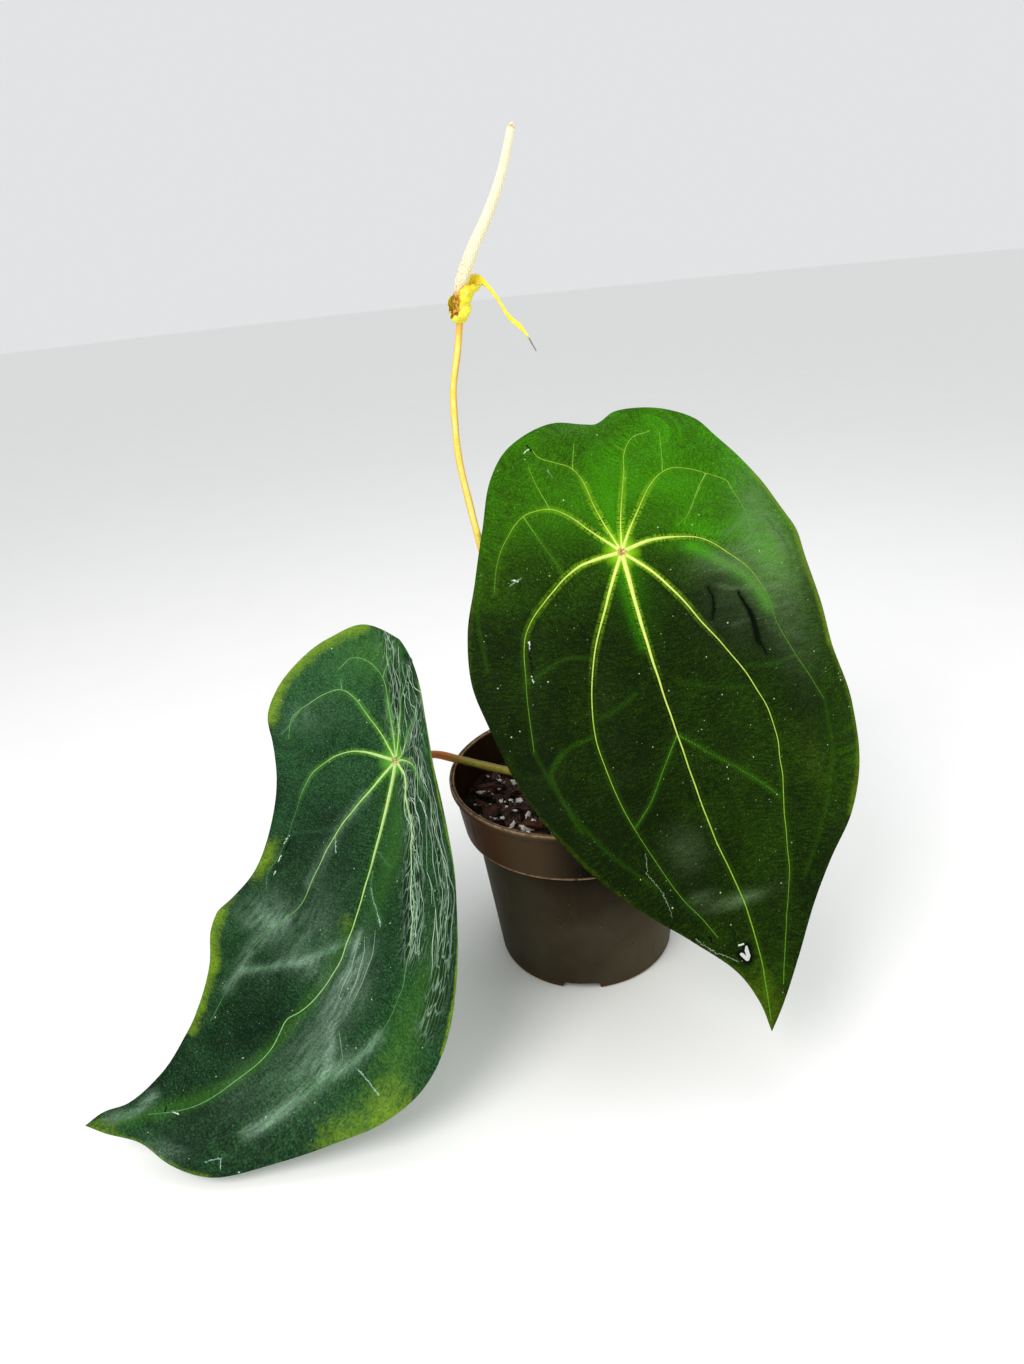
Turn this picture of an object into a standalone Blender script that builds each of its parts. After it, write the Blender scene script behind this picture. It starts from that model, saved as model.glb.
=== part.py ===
"""Potted peltate anthurium: two leaves and one withering inflorescence in a nursery pot.

Frame: metres, +Z up, origin at the centre of the pot's base, -Y is the front.
Sizes below are written in millimetres and turned into metres by MM.
"""
import math
import random

import bmesh
import bpy
import numpy as np
from mathutils import Matrix, Vector
from mathutils.geometry import delaunay_2d_cdt

MM = 0.001
GAP = 0.3                     # clearance between neighbouring pieces
FACET_GAP = 0.5               # the same, where facets come closer than their corners

# Pot, a 12 cm nursery pot
POT_HEIGHT = 100.0
RIM_RADIUS = 60.0             # outside of the lip
COLLAR_TOP = 58.3             # collar band, outside, just under the lip
COLLAR_FOOT = 55.3            # collar band, outside, at its lower edge
COLLAR_LEVEL = 74.0           # height of the collar's lower edge
BODY_TOP = 50.2               # tapered body, outside, under the collar
BODY_FOOT = 43.7              # tapered body, outside, at the base
WALL = 1.1
LIP_HEIGHT = 2.8
FOOT_HEIGHT = 3.2             # clear height under the floor
FOOT_WIDTH = 2.3
FLOOR_TOP = 4.6
PAD_RADIUS = 14.0             # flat pad in the middle of the base
POT_SIDES = 48
NOTCH_WIDTH = 21.0            # cut-outs in the foot
NOTCH_HEIGHT = 4.0
NOTCH_COUNT = 4
NOTCH_TURN = -99.5            # degrees from +X, where the front cut-out is
DRAIN_RADIUS = 3.5
DRAIN_CIRCLE = 27.0
DRAIN_COUNT = 6

# Potting mix
MIX_LEVEL = 82.0
MIX_ROUGHNESS = 0.9
MIX_SIDES = 36
BARK_CHIPS = 30
PERLITE_GRAINS = 30
EDGE_MARGIN = 9.0             # free of chips, along the pot
STEM_MARGIN = 8.5             # and round the stem
SEED = 11

# Stem that the stalks grow from
STEM_BOTTOM = 70.3
STEM_TOP = 99.0
STEM_RADIUS = 6.6
STEM_CENTRE = (3.0, 6.0)
SCALE_COUNT = 4

# Stalks: routes from the stem outwards, and radii at both ends
PETIOLE_RIGHT = {
    "route": [(7.5, 4.0, 91.0), (12.0, 2.0, 104.0), (19.0, 3.0, 130.0), (25.0, 6.5, 158.0),
              (27.5, 10.0, 180.0)],
    "radius": (2.3, 1.9),
}
PETIOLE_LEFT = {
    "route": [(0.0, 6.5, 90.5), (-10.0, 7.5, 90.5), (-21.0, 8.0, 92.0), (-32.0, 8.5, 95.2),
              (-44.0, 9.5, 99.3), (-56.5, 11.0, 103.6), (-67.0, 11.5, 107.0)],
    "radius": (2.3, 1.8),
}
STALK_TURN = 9.0              # length over which a leaf stalk turns square to its blade
PEDUNCLE = {
    "route": [(1.5, 9.5, 93.0), (-4.0, 11.0, 104.0), (-16.0, 13.0, 134.0), (-26.5, 15.0, 172.0),
              (-32.5, 15.5, 205.0), (-36.0, 15.0, 230.0), (-37.8, 14.0, 247.0),
              (-37.6, 13.0, 262.0), (-36.6, 12.0, 275.0), (-33.0, 11.0, 290.0),
              (-30.6, 10.5, 302.0)],
    "radius": (1.9, 1.35),
}
SPADIX = {
    "route": [(-30.5, 10.4, 302.4), (-28.3, 10.2, 314.5), (-22.6, 10.0, 326.0), (-16.0, 10.0, 336.5),
              (-9.3, 10.0, 350.0), (-4.0, 10.0, 365.5)],
    "radius": (2.9, 1.4),
}
SPADIX_RINGS = 36
SPADIX_SIDES = 10
FLORET_RELIEF = 0.07          # share of the radius

# Spathe: its back line, the width of the sheet and the radius of its cupped section
SPATHE = [
    ((-29.1, 10.6, 297.5), 9.5, 2.35),
    ((-26.2, 10.2, 301.0), 13.0, 4.3),
    ((-24.4, 10.0, 305.5), 13.5, 5.0),
    ((-23.2, 9.7, 310.0), 12.0, 5.0),
    ((-21.8, 9.2, 313.6), 7.5, 4.4),
    ((-19.4, 8.2, 314.8), 4.0, 2.4),
    ((-17.6, 7.0, 311.8), 3.2, 1.7),
    ((-15.2, 6.0, 306.8), 3.2, 1.7),
    ((-12.0, 4.8, 301.6), 3.0, 1.6),
    ((-7.8, 3.4, 297.0), 2.6, 1.5),
    ((-4.6, 2.4, 293.2), 1.8, 1.2),
    ((-1.8, 1.6, 287.4), 0.9, 0.8),
]
SPATHE_SHEET = 0.7
SPATHE_COLUMNS = 8

# Leaf blades. A flat pattern (u across, v along the midrib, hub at 0, 0) is bent in space:
# centre: v, then the midrib's place; tilt: v, then rise in degrees and curl for each half.
BLADE_SHEET = 0.7
BLADE_SPACING = 7.4           # of the mesh
FOLD_SOFTNESS = 4.0
CURL_WIDTH = 80.0             # distance from the midrib at which a curl is given
RIB_DEPTH = 1.5               # ribs below the blade, at the hub
RIB_RISE = 0.4                # and above it
RIB_HALF = 2.2
QUILT = 0.9                   # the blade's rise between its veins

BLADE_RIGHT = {
    "centre": [(-66, 23, 42, 250), (0, 27, -4, 204), (51, 35, -35, 164), (115, 47, -70, 112),
               (204, 63, -111, 34)],
    "tilt": [(-70, -4, -6, -10, -8), (0, -2, -4, -8, -6), (60, 0, -3, -8, -5),
             (120, 0, -2, -8, -4), (205, 0, 0, -4, 0)],
    "facing": (0.0, -0.85, 0.53),
    "wave": (1.5, 62.0, 0.5),
    "outline": [(0, 204), (-1, 193), (-6, 179), (-20, 162), (-38, 143), (-55, 119), (-67, 90),
                (-74, 56), (-76, 37), (-72, 16), (-64, -2), (-57, -23), (-50, -48), (-41, -62),
                (-29, -69), (-17, -71), (-4, -67), (1, -66), (11, -72), (24, -74), (37, -73),
                (50, -68), (58, -58), (67, -46), (77, -29), (82, -7), (81, 17), (82, 41),
                (78, 65), (78, 90), (74, 109), (60, 132), (45, 147), (32, 162), (19, 180),
                (7, 196), (0, 204)],
    "veins": [
        [(0, 0), (-1, 40), (-1, 81), (0, 122), (4, 151), (4, 177), (1, 200)],
        [(0, 0), (-12, 20), (-24, 41), (-33, 71), (-33, 88), (-31, 106), (-23, 130), (-13, 153),
         (-8, 170)],
        [(0, 0), (13, 15), (24, 37), (34, 58), (40, 86), (37, 106), (31, 126), (26, 147),
         (18, 167), (10, 188)],
        [(0, 0), (-19, 2), (-33, 10), (-48, 23), (-54, 43), (-59, 71)],
        [(0, 0), (18, -4), (35, -1), (48, 11), (56, 28), (58, 48), (62, 69), (66, 84)],
        [(0, 0), (-12, -14), (-28, -28), (-39, -24), (-47, -13), (-52, -2)],
        [(-28, -28), (-31, -42), (-33, -54)],
        [(0, 0), (-2, -15), (-9, -34), (-18, -48), (-26, -56)],
        [(0, 0), (3, -15), (9, -38), (15, -55), (28, -61)],
        [(0, 0), (9, -15), (26, -38), (40, -42), (53, -36), (62, -22)],
    ],
}
BLADE_LEFT = {
    "centre": [(-58, -77, 30, 161), (0, -83, -5, 115), (50, -97, -35, 78), (104, -121, -71, 45),
               (154, -156, -102, 30), (214, -215, -110, 21)],
    "tilt": [(-66, -10, -4, 66, 10), (0, -14, -4, 66, 10), (50, -20, -2, 50, 9),
             (110, -8, 4, 32, 8), (160, -2, 4, 16, 8), (221, 0, 0, 4, 0)],
    "facing": (0.12, -0.83, 0.54),
    "wave": (0.0, 62.0, 0.0),
    "outline": [(0, 215), (-3, 207), (-4, 197), (-12, 182), (-24, 166), (-34, 147), (-43, 130),
                (-53, 114), (-57, 99), (-56, 84), (-54, 66), (-56, 42), (-58, 15), (-62, -7),
                (-65, -24), (-60, -38), (-48, -51), (-34, -60), (-18, -66), (-1, -59), (14, -47),
                (26, -33), (37, -14), (46, 2), (54, 17), (59, 36), (63, 62), (67, 84), (69, 102),
                (66, 116), (59, 127), (47, 140), (37, 155), (31, 171), (22, 184), (12, 194),
                (5, 208), (0, 215)],
    "veins": [
        [(0, 0), (-1, 45), (2, 85), (-1, 115), (2, 150), (5, 172), (2, 205)],
        [(0, 0), (-12, 18), (-21, 36), (-25, 62), (-32, 93), (-34, 115), (-30, 133), (-24, 150),
         (-14, 170)],
        [(0, 0), (16, 20), (28, 47), (34, 73), (39, 94), (36, 112), (29, 128), (25, 146),
         (15, 172)],
        [(0, 0), (-23, -3), (-39, 9), (-45, 31), (-46, 55)],
        [(0, 0), (17, 2), (38, 16), (49, 38), (54, 62)],
        [(0, 0), (-13, -19), (-27, -32), (-41, -30), (-51, -22), (-56, -8)],
        [(0, 0), (-6, -26), (-10, -42), (-24, -51)],
        [(0, 0), (2, -18), (5, -32), (8, -44)],
        [(0, 0), (11, -13), (24, -17)],
    ],
}

random.seed(SEED)


def clear_scene():
    for old in list(bpy.data.objects):
        bpy.data.objects.remove(old, do_unlink=True)


def material(name, color, roughness, coat=0.0):
    mat = bpy.data.materials.new(name)
    mat.use_nodes = True
    shader = mat.node_tree.nodes["Principled BSDF"]
    shader.inputs["Base Color"].default_value = (*color, 1.0)
    shader.inputs["Roughness"].default_value = roughness
    shader.inputs["Metallic"].default_value = 0.0
    shader.inputs["Coat Weight"].default_value = coat
    return mat


def add_object(name, bm, mat=None, smooth=False):
    """Turn a bmesh in millimetres into an object in metres."""
    bmesh.ops.scale(bm, vec=(MM, MM, MM), verts=bm.verts)
    mesh = bpy.data.meshes.new(name)
    bm.to_mesh(mesh)
    bm.free()
    if mat:
        mesh.materials.append(mat)
    if smooth:
        mesh.shade_smooth()
        mesh.set_sharp_from_angle(angle=math.radians(40))
    obj = bpy.data.objects.new(name, mesh)
    bpy.context.scene.collection.objects.link(obj)
    return obj


def as_cutter(obj):
    obj.hide_render = True
    obj.display_type = "WIRE"
    return obj


def cut(obj, cutter):
    mod = obj.modifiers.new("cut_" + cutter.name, "BOOLEAN")
    mod.operation = "DIFFERENCE"
    mod.solver = "EXACT"
    mod.object = cutter


def fuse(obj, extras):
    """Join a node's repeats to it with one union, applied, and drop them."""
    group = bpy.data.collections.new(obj.name + "_repeats")
    bpy.context.scene.collection.children.link(group)
    for extra in extras:
        group.objects.link(extra)
        bpy.context.scene.collection.objects.unlink(extra)
    mod = obj.modifiers.new("fuse", "BOOLEAN")
    mod.operation = "UNION"
    mod.solver = "MANIFOLD"
    mod.operand_type = "COLLECTION"
    mod.collection = group
    graph = bpy.context.evaluated_depsgraph_get()
    joined = bpy.data.meshes.new_from_object(obj.evaluated_get(graph))
    obj.modifiers.remove(mod)
    obj.data = joined
    for extra in extras:
        bpy.data.objects.remove(extra, do_unlink=True)
    bpy.data.collections.remove(group)
    return obj


def turned(profile, sides):
    """Closed solid of revolution from (radius, height) points, going up the outside."""
    bm = bmesh.new()
    points = [bm.verts.new((radius, 0.0, height)) for radius, height in profile]
    edges = [bm.edges.new(pair) for pair in zip(points, points[1:])]
    bmesh.ops.spin(bm, geom=points + edges, axis=(0, 0, 1), cent=(0, 0, 0), angle=2 * math.pi,
                   steps=sides, use_merge=True)
    bmesh.ops.remove_doubles(bm, verts=bm.verts, dist=1e-4)
    bmesh.ops.recalc_face_normals(bm, faces=bm.faces)
    return bm


def smooth_rows(table, at):
    """Cubic curve through rows of (key, values...), read at the keys in 'at'."""
    rows = np.asarray(table, float)
    keys, values = rows[:, 0], rows[:, 1:]
    at = np.clip(np.atleast_1d(np.asarray(at, float)), keys[0], keys[-1])
    secant = (values[1:] - values[:-1]) / (keys[1:] - keys[:-1])[:, None]
    tangent = np.vstack([secant[:1], (secant[1:] + secant[:-1]) / 2, secant[-1:]])
    i = np.clip(np.searchsorted(keys, at) - 1, 0, len(keys) - 2)
    span = (keys[i + 1] - keys[i])[:, None]
    s = (at - keys[i])[:, None] / span
    return (values[i] * (1 + 2 * s) * (1 - s) ** 2 + tangent[i] * span * s * (1 - s) ** 2
            + values[i + 1] * s ** 2 * (3 - 2 * s) - tangent[i + 1] * span * s ** 2 * (1 - s))


def along(points, spacing):
    """Smooth curve through points, read at even steps of about 'spacing'."""
    pts = np.asarray(points, float)
    reach = np.r_[0.0, np.cumsum(np.linalg.norm(np.diff(pts, axis=0), axis=1))]
    count = max(2, int(round(reach[-1] / spacing)) + 1)
    return smooth_rows(np.column_stack([reach, pts]), np.linspace(0.0, reach[-1], count))


def unit(rows):
    return rows / np.linalg.norm(rows, axis=-1, keepdims=True)


def sweep(route, radii, sides, relief=0.0, rings=None, tip=0.0):
    """Round stalk along a route, its radius running from one value to the other."""
    pts = along(route, 5.0) if rings is None else along(route, along_length(route) / (rings - 1))
    tangents = unit(np.gradient(pts, axis=0))
    bm = bmesh.new()
    side = Vector((0, 1, 0)).cross(Vector(tangents[0])).normalized()
    loops = []
    last = len(pts) - 1
    for k, (point, direction) in enumerate(zip(pts, tangents)):
        axis = Vector(direction)
        side = (side - axis * side.dot(axis)).normalized()
        other = axis.cross(side)
        share = k / last
        radius = radii[0] + (radii[1] - radii[0]) * share
        if tip:
            radius *= math.sqrt(max(0.12, 1 - max(0.0, (share - tip) / (1 - tip)) ** 2))
        loop = []
        for n in range(sides):
            turn = 2 * math.pi * (n + 0.5 * (k % 2) * bool(relief)) / sides
            bump = 1 + relief * (1 if (n + k // 2) % 2 else -1) * (0 < k < last)
            loop.append(bm.verts.new(Vector(point) + radius * bump
                                     * (side * math.cos(turn) + other * math.sin(turn))))
        loops.append(loop)
    for low, high in zip(loops, loops[1:]):
        for n in range(sides):
            bm.faces.new((low[n], low[(n + 1) % sides], high[(n + 1) % sides], high[n]))
    bm.faces.new(loops[0][::-1])
    bm.faces.new(loops[-1])
    bmesh.ops.recalc_face_normals(bm, faces=bm.faces)
    return bm


def along_length(route):
    return float(np.linalg.norm(np.diff(np.asarray(route, float), axis=0), axis=1).sum())


def inner_radius(height):
    """Inside of the pot's wall at a height."""
    if height < COLLAR_LEVEL + WALL:
        share = height / COLLAR_LEVEL
        return BODY_FOOT + (BODY_TOP - BODY_FOOT) * share - WALL
    share = (height - COLLAR_LEVEL) / (POT_HEIGHT - LIP_HEIGHT - COLLAR_LEVEL)
    return COLLAR_FOOT + (COLLAR_TOP - COLLAR_FOOT) * share - WALL


def build_pot():
    lip = POT_HEIGHT - LIP_HEIGHT
    foot_in = BODY_FOOT - 1.7 - FOOT_WIDTH
    profile = [
        (0, 0), (PAD_RADIUS, 0), (PAD_RADIUS + 0.5, FOOT_HEIGHT), (foot_in - 0.4, FOOT_HEIGHT),
        (foot_in, 0), (BODY_FOOT - 1.7, 0), (BODY_FOOT - 0.5, 0.5), (BODY_FOOT, 1.8),
        (BODY_TOP, COLLAR_LEVEL), (COLLAR_FOOT - 0.4, COLLAR_LEVEL), (COLLAR_FOOT, COLLAR_LEVEL + 0.5),
        (COLLAR_TOP, lip - 0.6), (RIM_RADIUS, lip), (RIM_RADIUS, POT_HEIGHT - 0.6),
        (RIM_RADIUS - 0.6, POT_HEIGHT), (RIM_RADIUS - 1.7, POT_HEIGHT),
        (RIM_RADIUS - 2.3, POT_HEIGHT - 0.6), (COLLAR_TOP - WALL, lip - 0.6),
        (inner_radius(COLLAR_LEVEL + WALL), COLLAR_LEVEL + WALL),
        (BODY_TOP - WALL, COLLAR_LEVEL + WALL), (inner_radius(FLOOR_TOP), FLOOR_TOP), (0, FLOOR_TOP),
    ]
    plastic = material("taupe_plastic", (0.115, 0.085, 0.068), 0.42)
    pot = add_object("pot", turned(profile, POT_SIDES), plastic, smooth=True)
    notches = bmesh.new()
    for k in range(NOTCH_COUNT):
        angle = math.radians(NOTCH_TURN) + 2 * math.pi * k / NOTCH_COUNT
        made = bmesh.ops.create_cube(notches, size=1.0)["verts"]
        bmesh.ops.scale(notches, vec=(FOOT_WIDTH + 12.0, NOTCH_WIDTH, 2 * NOTCH_HEIGHT), verts=made)
        for vert in made:
            if vert.co.z > 0:
                vert.co.y -= math.copysign(2.2, vert.co.y)
        bmesh.ops.translate(notches, vec=(BODY_FOOT, 0, 0), verts=made)
        bmesh.ops.rotate(notches, cent=(0, 0, 0), matrix=Matrix.Rotation(angle, 3, "Z"), verts=made)
    cut(pot, as_cutter(add_object("notch_cutter", notches)))
    drains = bmesh.new()
    for k in range(DRAIN_COUNT):
        angle = 2 * math.pi * (k + 0.5) / DRAIN_COUNT
        spot = (DRAIN_CIRCLE * math.cos(angle), DRAIN_CIRCLE * math.sin(angle), FLOOR_TOP)
        bmesh.ops.create_cone(drains, cap_ends=True, segments=10, radius1=DRAIN_RADIUS,
                              radius2=DRAIN_RADIUS, depth=8.0, matrix=Matrix.Translation(spot))
    cut(pot, as_cutter(add_object("drain_cutter", drains)))
    return pot


def mix_height(x, y):
    """Height of the potting mix's uneven surface."""
    return (MIX_LEVEL + MIX_ROUGHNESS * (math.sin(x * 0.21 + 1.0) * math.cos(y * 0.17)
                                         + 0.6 * math.sin(x * 0.47 + y * 0.39)))


def scatter_spot(reach):
    """A random place on the mix, clear of the stem."""
    while True:
        far = reach * math.sqrt(random.random())
        angle = random.uniform(0, 2 * math.pi)
        x, y = far * math.cos(angle), far * math.sin(angle)
        if math.hypot(x - STEM_CENTRE[0], y - STEM_CENTRE[1]) > STEM_RADIUS + STEM_MARGIN:
            return x, y


def build_mix():
    ledge = COLLAR_LEVEL + WALL + GAP
    top_radius = inner_radius(MIX_LEVEL) - 2 * GAP
    profile = [(0, FLOOR_TOP + GAP), (inner_radius(FLOOR_TOP) - GAP - 0.1, FLOOR_TOP + GAP),
               (BODY_TOP - WALL - GAP - 0.1, ledge), (inner_radius(ledge) - FACET_GAP, ledge),
               (top_radius, MIX_LEVEL)]
    profile += [(top_radius * share, MIX_LEVEL) for share in (0.84, 0.67, 0.5, 0.33, 0.17, 0.0)]
    bm = turned(profile, MIX_SIDES)
    for vert in bm.verts:
        if vert.co.z > MIX_LEVEL - 0.5:
            vert.co.z = mix_height(vert.co.x, vert.co.y)
    dark = material("potting_mix", (0.018, 0.012, 0.009), 0.9)
    mix = add_object("potting_mix", bm, dark)
    extras = []
    for k in range(BARK_CHIPS + PERLITE_GRAINS):
        x, y = scatter_spot(top_radius - EDGE_MARGIN)
        chip = bmesh.new()
        if k < BARK_CHIPS:
            size = (random.uniform(7, 14), random.uniform(4, 7), random.uniform(2.0, 3.0))
            bmesh.ops.create_cube(chip, size=1.0)
            bmesh.ops.scale(chip, vec=size, verts=chip.verts)
            for vert in chip.verts:
                vert.co.x *= random.uniform(0.75, 1.0)
                vert.co.y *= random.uniform(0.65, 1.0)
            tilt = Matrix.Rotation(math.radians(random.uniform(-16, 16)), 3, "X")
            lift = 0.4
        else:
            size = random.uniform(1.3, 2.4)
            bmesh.ops.create_icosphere(chip, subdivisions=1, radius=size)
            for vert in chip.verts:
                vert.co *= random.uniform(0.8, 1.1)
            tilt = Matrix.Rotation(random.uniform(0, 3), 3, "Y")
            lift = 0.35 * size
        turn = Matrix.Rotation(random.uniform(0, 2 * math.pi), 3, "Z") @ tilt
        bmesh.ops.rotate(chip, cent=(0, 0, 0), matrix=turn, verts=chip.verts)
        bmesh.ops.translate(chip, vec=(x, y, mix_height(x, y) + lift), verts=chip.verts)
        extras.append(add_object("repeat", chip))
    return fuse(mix, extras)


def build_stem():
    rings = [(STEM_RADIUS, STEM_BOTTOM), (STEM_RADIUS, 84.0), (STEM_RADIUS - 0.7, 85.0),
             (STEM_RADIUS - 0.2, 89.0), (STEM_RADIUS - 1.0, 90.0), (STEM_RADIUS - 0.8, 94.0),
             (STEM_RADIUS - 2.2, 97.0), (1.5, STEM_TOP), (0, STEM_TOP)]
    bm = turned([(0, STEM_BOTTOM)] + rings, 12)
    bmesh.ops.translate(bm, vec=(*STEM_CENTRE, 0), verts=bm.verts)
    brown = material("stem_brown", (0.16, 0.085, 0.035), 0.75)
    stem = add_object("stem", bm, brown)
    extras = []
    for k in range(SCALE_COUNT):
        angle = 2 * math.pi * k / SCALE_COUNT + 0.9
        scale = bmesh.new()
        bmesh.ops.create_cone(scale, cap_ends=True, segments=6, radius1=4.2, radius2=0.5,
                              depth=17.0 + 3 * (k % 2))
        bmesh.ops.scale(scale, vec=(0.32, 1.0, 1.0), verts=scale.verts)
        bmesh.ops.rotate(scale, cent=(0, 0, 0), matrix=Matrix.Rotation(math.radians(17), 3, "Y"),
                         verts=scale.verts)
        bmesh.ops.translate(scale, vec=(STEM_RADIUS - 0.6, 0, 93.0), verts=scale.verts)
        bmesh.ops.rotate(scale, cent=(0, 0, 0), matrix=Matrix.Rotation(angle, 3, "Z"),
                         verts=scale.verts)
        bmesh.ops.translate(scale, vec=(*STEM_CENTRE, 0), verts=scale.verts)
        extras.append(add_object("repeat", scale))
    return fuse(stem, extras)


def sheet_frame(leaf, v):
    """Midrib point and the across and outward directions at distances v along the midrib."""
    first, final = leaf["centre"][0][0], leaf["centre"][-1][0]
    held = np.clip(v, first, final)
    ahead = smooth_rows(leaf["centre"], np.clip(held + 1, first, final))
    behind = smooth_rows(leaf["centre"], np.clip(held - 1, first, final))
    direction = unit(ahead - behind)
    centre = smooth_rows(leaf["centre"], held) + direction * (v - held)[:, None]
    across = unit(np.cross(np.asarray(leaf["facing"]), direction))
    return centre, across, np.cross(direction, across)


def bend(leaf, u, v):
    """Place of flat pattern points (u, v) on the bent blade, in millimetres."""
    u, v = np.atleast_1d(u).astype(float), np.atleast_1d(v).astype(float)
    centre, across, outward = sheet_frame(leaf, v)
    tilt = smooth_rows(leaf["tilt"], v)
    right = u > 0
    angle = np.radians(np.where(right, tilt[:, 2], tilt[:, 0]))
    curl = np.where(right, tilt[:, 3], tilt[:, 1])
    height, length, phase = leaf["wave"]
    swell = height * np.sin(2 * np.pi * v / length + np.where(right, phase, phase + 2.0))
    lift = (curl + swell) * (u / CURL_WIDTH) ** 2
    rise = np.sqrt(u * u + FOLD_SOFTNESS ** 2) - FOLD_SOFTNESS
    sideways = np.sign(u) * (np.abs(u) * np.cos(angle) - lift * np.sin(angle))
    forward = rise * np.sin(angle) + lift * np.cos(angle)
    return centre + sideways[:, None] * across + forward[:, None] * outward


def outward_normal(leaf, u, v):
    """Unit normals on the blade's upper face."""
    step = 0.5
    along_u = bend(leaf, u + step, v) - bend(leaf, u - step, v)
    along_v = bend(leaf, u, v + step) - bend(leaf, u, v - step)
    return unit(np.cross(along_v, along_u))


def nearest(points, line):
    """Distance from each point to a polyline."""
    pts, a, b = np.asarray(points)[:, None, :], line[:-1][None], line[1:][None]
    share = ((pts - a) * (b - a)).sum(2) / ((b - a) ** 2).sum(2)
    foot = a + np.clip(share, 0, 1)[..., None] * (b - a)
    return np.linalg.norm(pts - foot, axis=2).min(axis=1)


def inside(points, loop):
    """Which points lie inside a closed outline."""
    x, y = points[:, 0, None], points[:, 1, None]
    x0, y0 = loop[:-1, 0][None], loop[:-1, 1][None]
    x1, y1 = loop[1:, 0][None], loop[1:, 1][None]
    crosses = (y0 > y) != (y1 > y)
    with np.errstate(divide="ignore", invalid="ignore"):
        hit = x < (x1 - x0) * (y - y0) / (y1 - y0) + x0
    return (crosses & hit).sum(axis=1) % 2 == 1


def blade_net(leaf):
    """Flat net of the blade: its edge, its veins with a line on each side, and a hex field."""
    edge = along(leaf["outline"], BLADE_SPACING * 0.8)
    veins = [along(vein, BLADE_SPACING) for vein in leaf["veins"]]
    points, edges = [], []

    def place(point, room):
        """Index of a point, or of one already there closer than 'room'."""
        if points:
            far = np.linalg.norm(np.asarray(points) - point, axis=1)
            if far.min() < room:
                return int(far.argmin())
        points.append(np.asarray(point, float))
        return len(points) - 1

    ring = [place(point, 0.3) for point in edge[:-1]]
    edges += list(zip(ring, ring[1:] + ring[:1]))
    for vein in veins:
        row = [place(point, 2.0) for point in vein]
        edges += [(a, b) for a, b in zip(row, row[1:]) if a != b]
    candidates = []
    for vein in veins:
        normal = unit(np.gradient(vein, axis=0))[:, ::-1] * (1, -1)
        candidates += list(vein[1:] + normal[1:] * RIB_HALF) + list(vein[1:] - normal[1:] * RIB_HALF)
    low, high = edge.min(axis=0), edge.max(axis=0)
    step = BLADE_SPACING * math.sqrt(0.75)
    for row, v in enumerate(np.arange(low[1], high[1], step)):
        shift = (row % 2) * BLADE_SPACING / 2
        candidates += [(u + shift, v) for u in np.arange(low[0], high[0], BLADE_SPACING)]
    candidates = np.asarray(candidates)
    beside = 2 * sum(len(vein) - 1 for vein in veins)
    to_vein = np.min([nearest(candidates, vein) for vein in veins], axis=0)
    room = np.where(np.arange(len(candidates)) < beside, RIB_HALF * 0.95, BLADE_SPACING * 0.62)
    kept = inside(candidates, edge) & (nearest(candidates, edge) > 2.4) & (to_vein > room)
    for point, least in zip(candidates[kept], room[kept]):
        far = np.linalg.norm(np.asarray(points) - point, axis=1).min()
        if far > least:
            points.append(point)
    flat = [Vector(point) for point in points]
    net = delaunay_2d_cdt(flat, edges, [ring], 1, 1e-5)
    return np.asarray([tuple(vert) for vert in net[0]]), net[2], veins


def build_blade(name, leaf, mat):
    flat, faces, veins = blade_net(leaf)
    u, v = flat[:, 0], flat[:, 1]
    to_vein = np.min([nearest(flat, vein) for vein in veins], axis=0)
    hub_reach = np.linalg.norm(flat, axis=1)
    rib = np.clip(1 - to_vein / (RIB_HALF * 0.8), 0, 1) * (0.35 + 0.65 * np.exp(-hub_reach / 70))
    quilt = QUILT * (1 - np.exp(-(to_vein / 8) ** 2)) * np.clip(
        nearest(flat, along(leaf["outline"], 4.0)) / 10, 0, 1)
    normal = outward_normal(leaf, u, v)
    surface = bend(leaf, u, v) + normal * quilt[:, None]
    top = surface + normal * (rib * RIB_RISE)[:, None]
    under = surface - normal * (BLADE_SHEET + rib * RIB_DEPTH)[:, None]
    bm = bmesh.new()
    upper = [bm.verts.new(point) for point in top]
    lower = [bm.verts.new(point) for point in under]
    border = {}
    for face in faces:
        a, b, c = face
        area = (u[b] - u[a]) * (v[c] - v[a]) - (u[c] - u[a]) * (v[b] - v[a])
        if area > 0:
            a, c = c, a
        bm.faces.new((upper[a], upper[b], upper[c]))
        bm.faces.new((lower[c], lower[b], lower[a]))
        for pair in ((a, b), (b, c), (c, a)):
            if pair[::-1] in border:
                del border[pair[::-1]]
            else:
                border[pair] = True
    for a, b in border:
        bm.faces.new((upper[b], upper[a], lower[a]))
        bm.faces.new((upper[b], lower[a], lower[b]))
    return add_object(name, bm, mat, smooth=True)


def to_hub(route, leaf):
    """A leaf stalk's route carried on to the underside of its blade's hub."""
    origin = np.zeros(1)
    normal = outward_normal(leaf, origin, origin)[0]
    end = bend(leaf, origin, origin)[0] - normal * (BLADE_SHEET + RIB_DEPTH + FACET_GAP)
    return route + [tuple(end - normal * STALK_TURN), tuple(end)]


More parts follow.
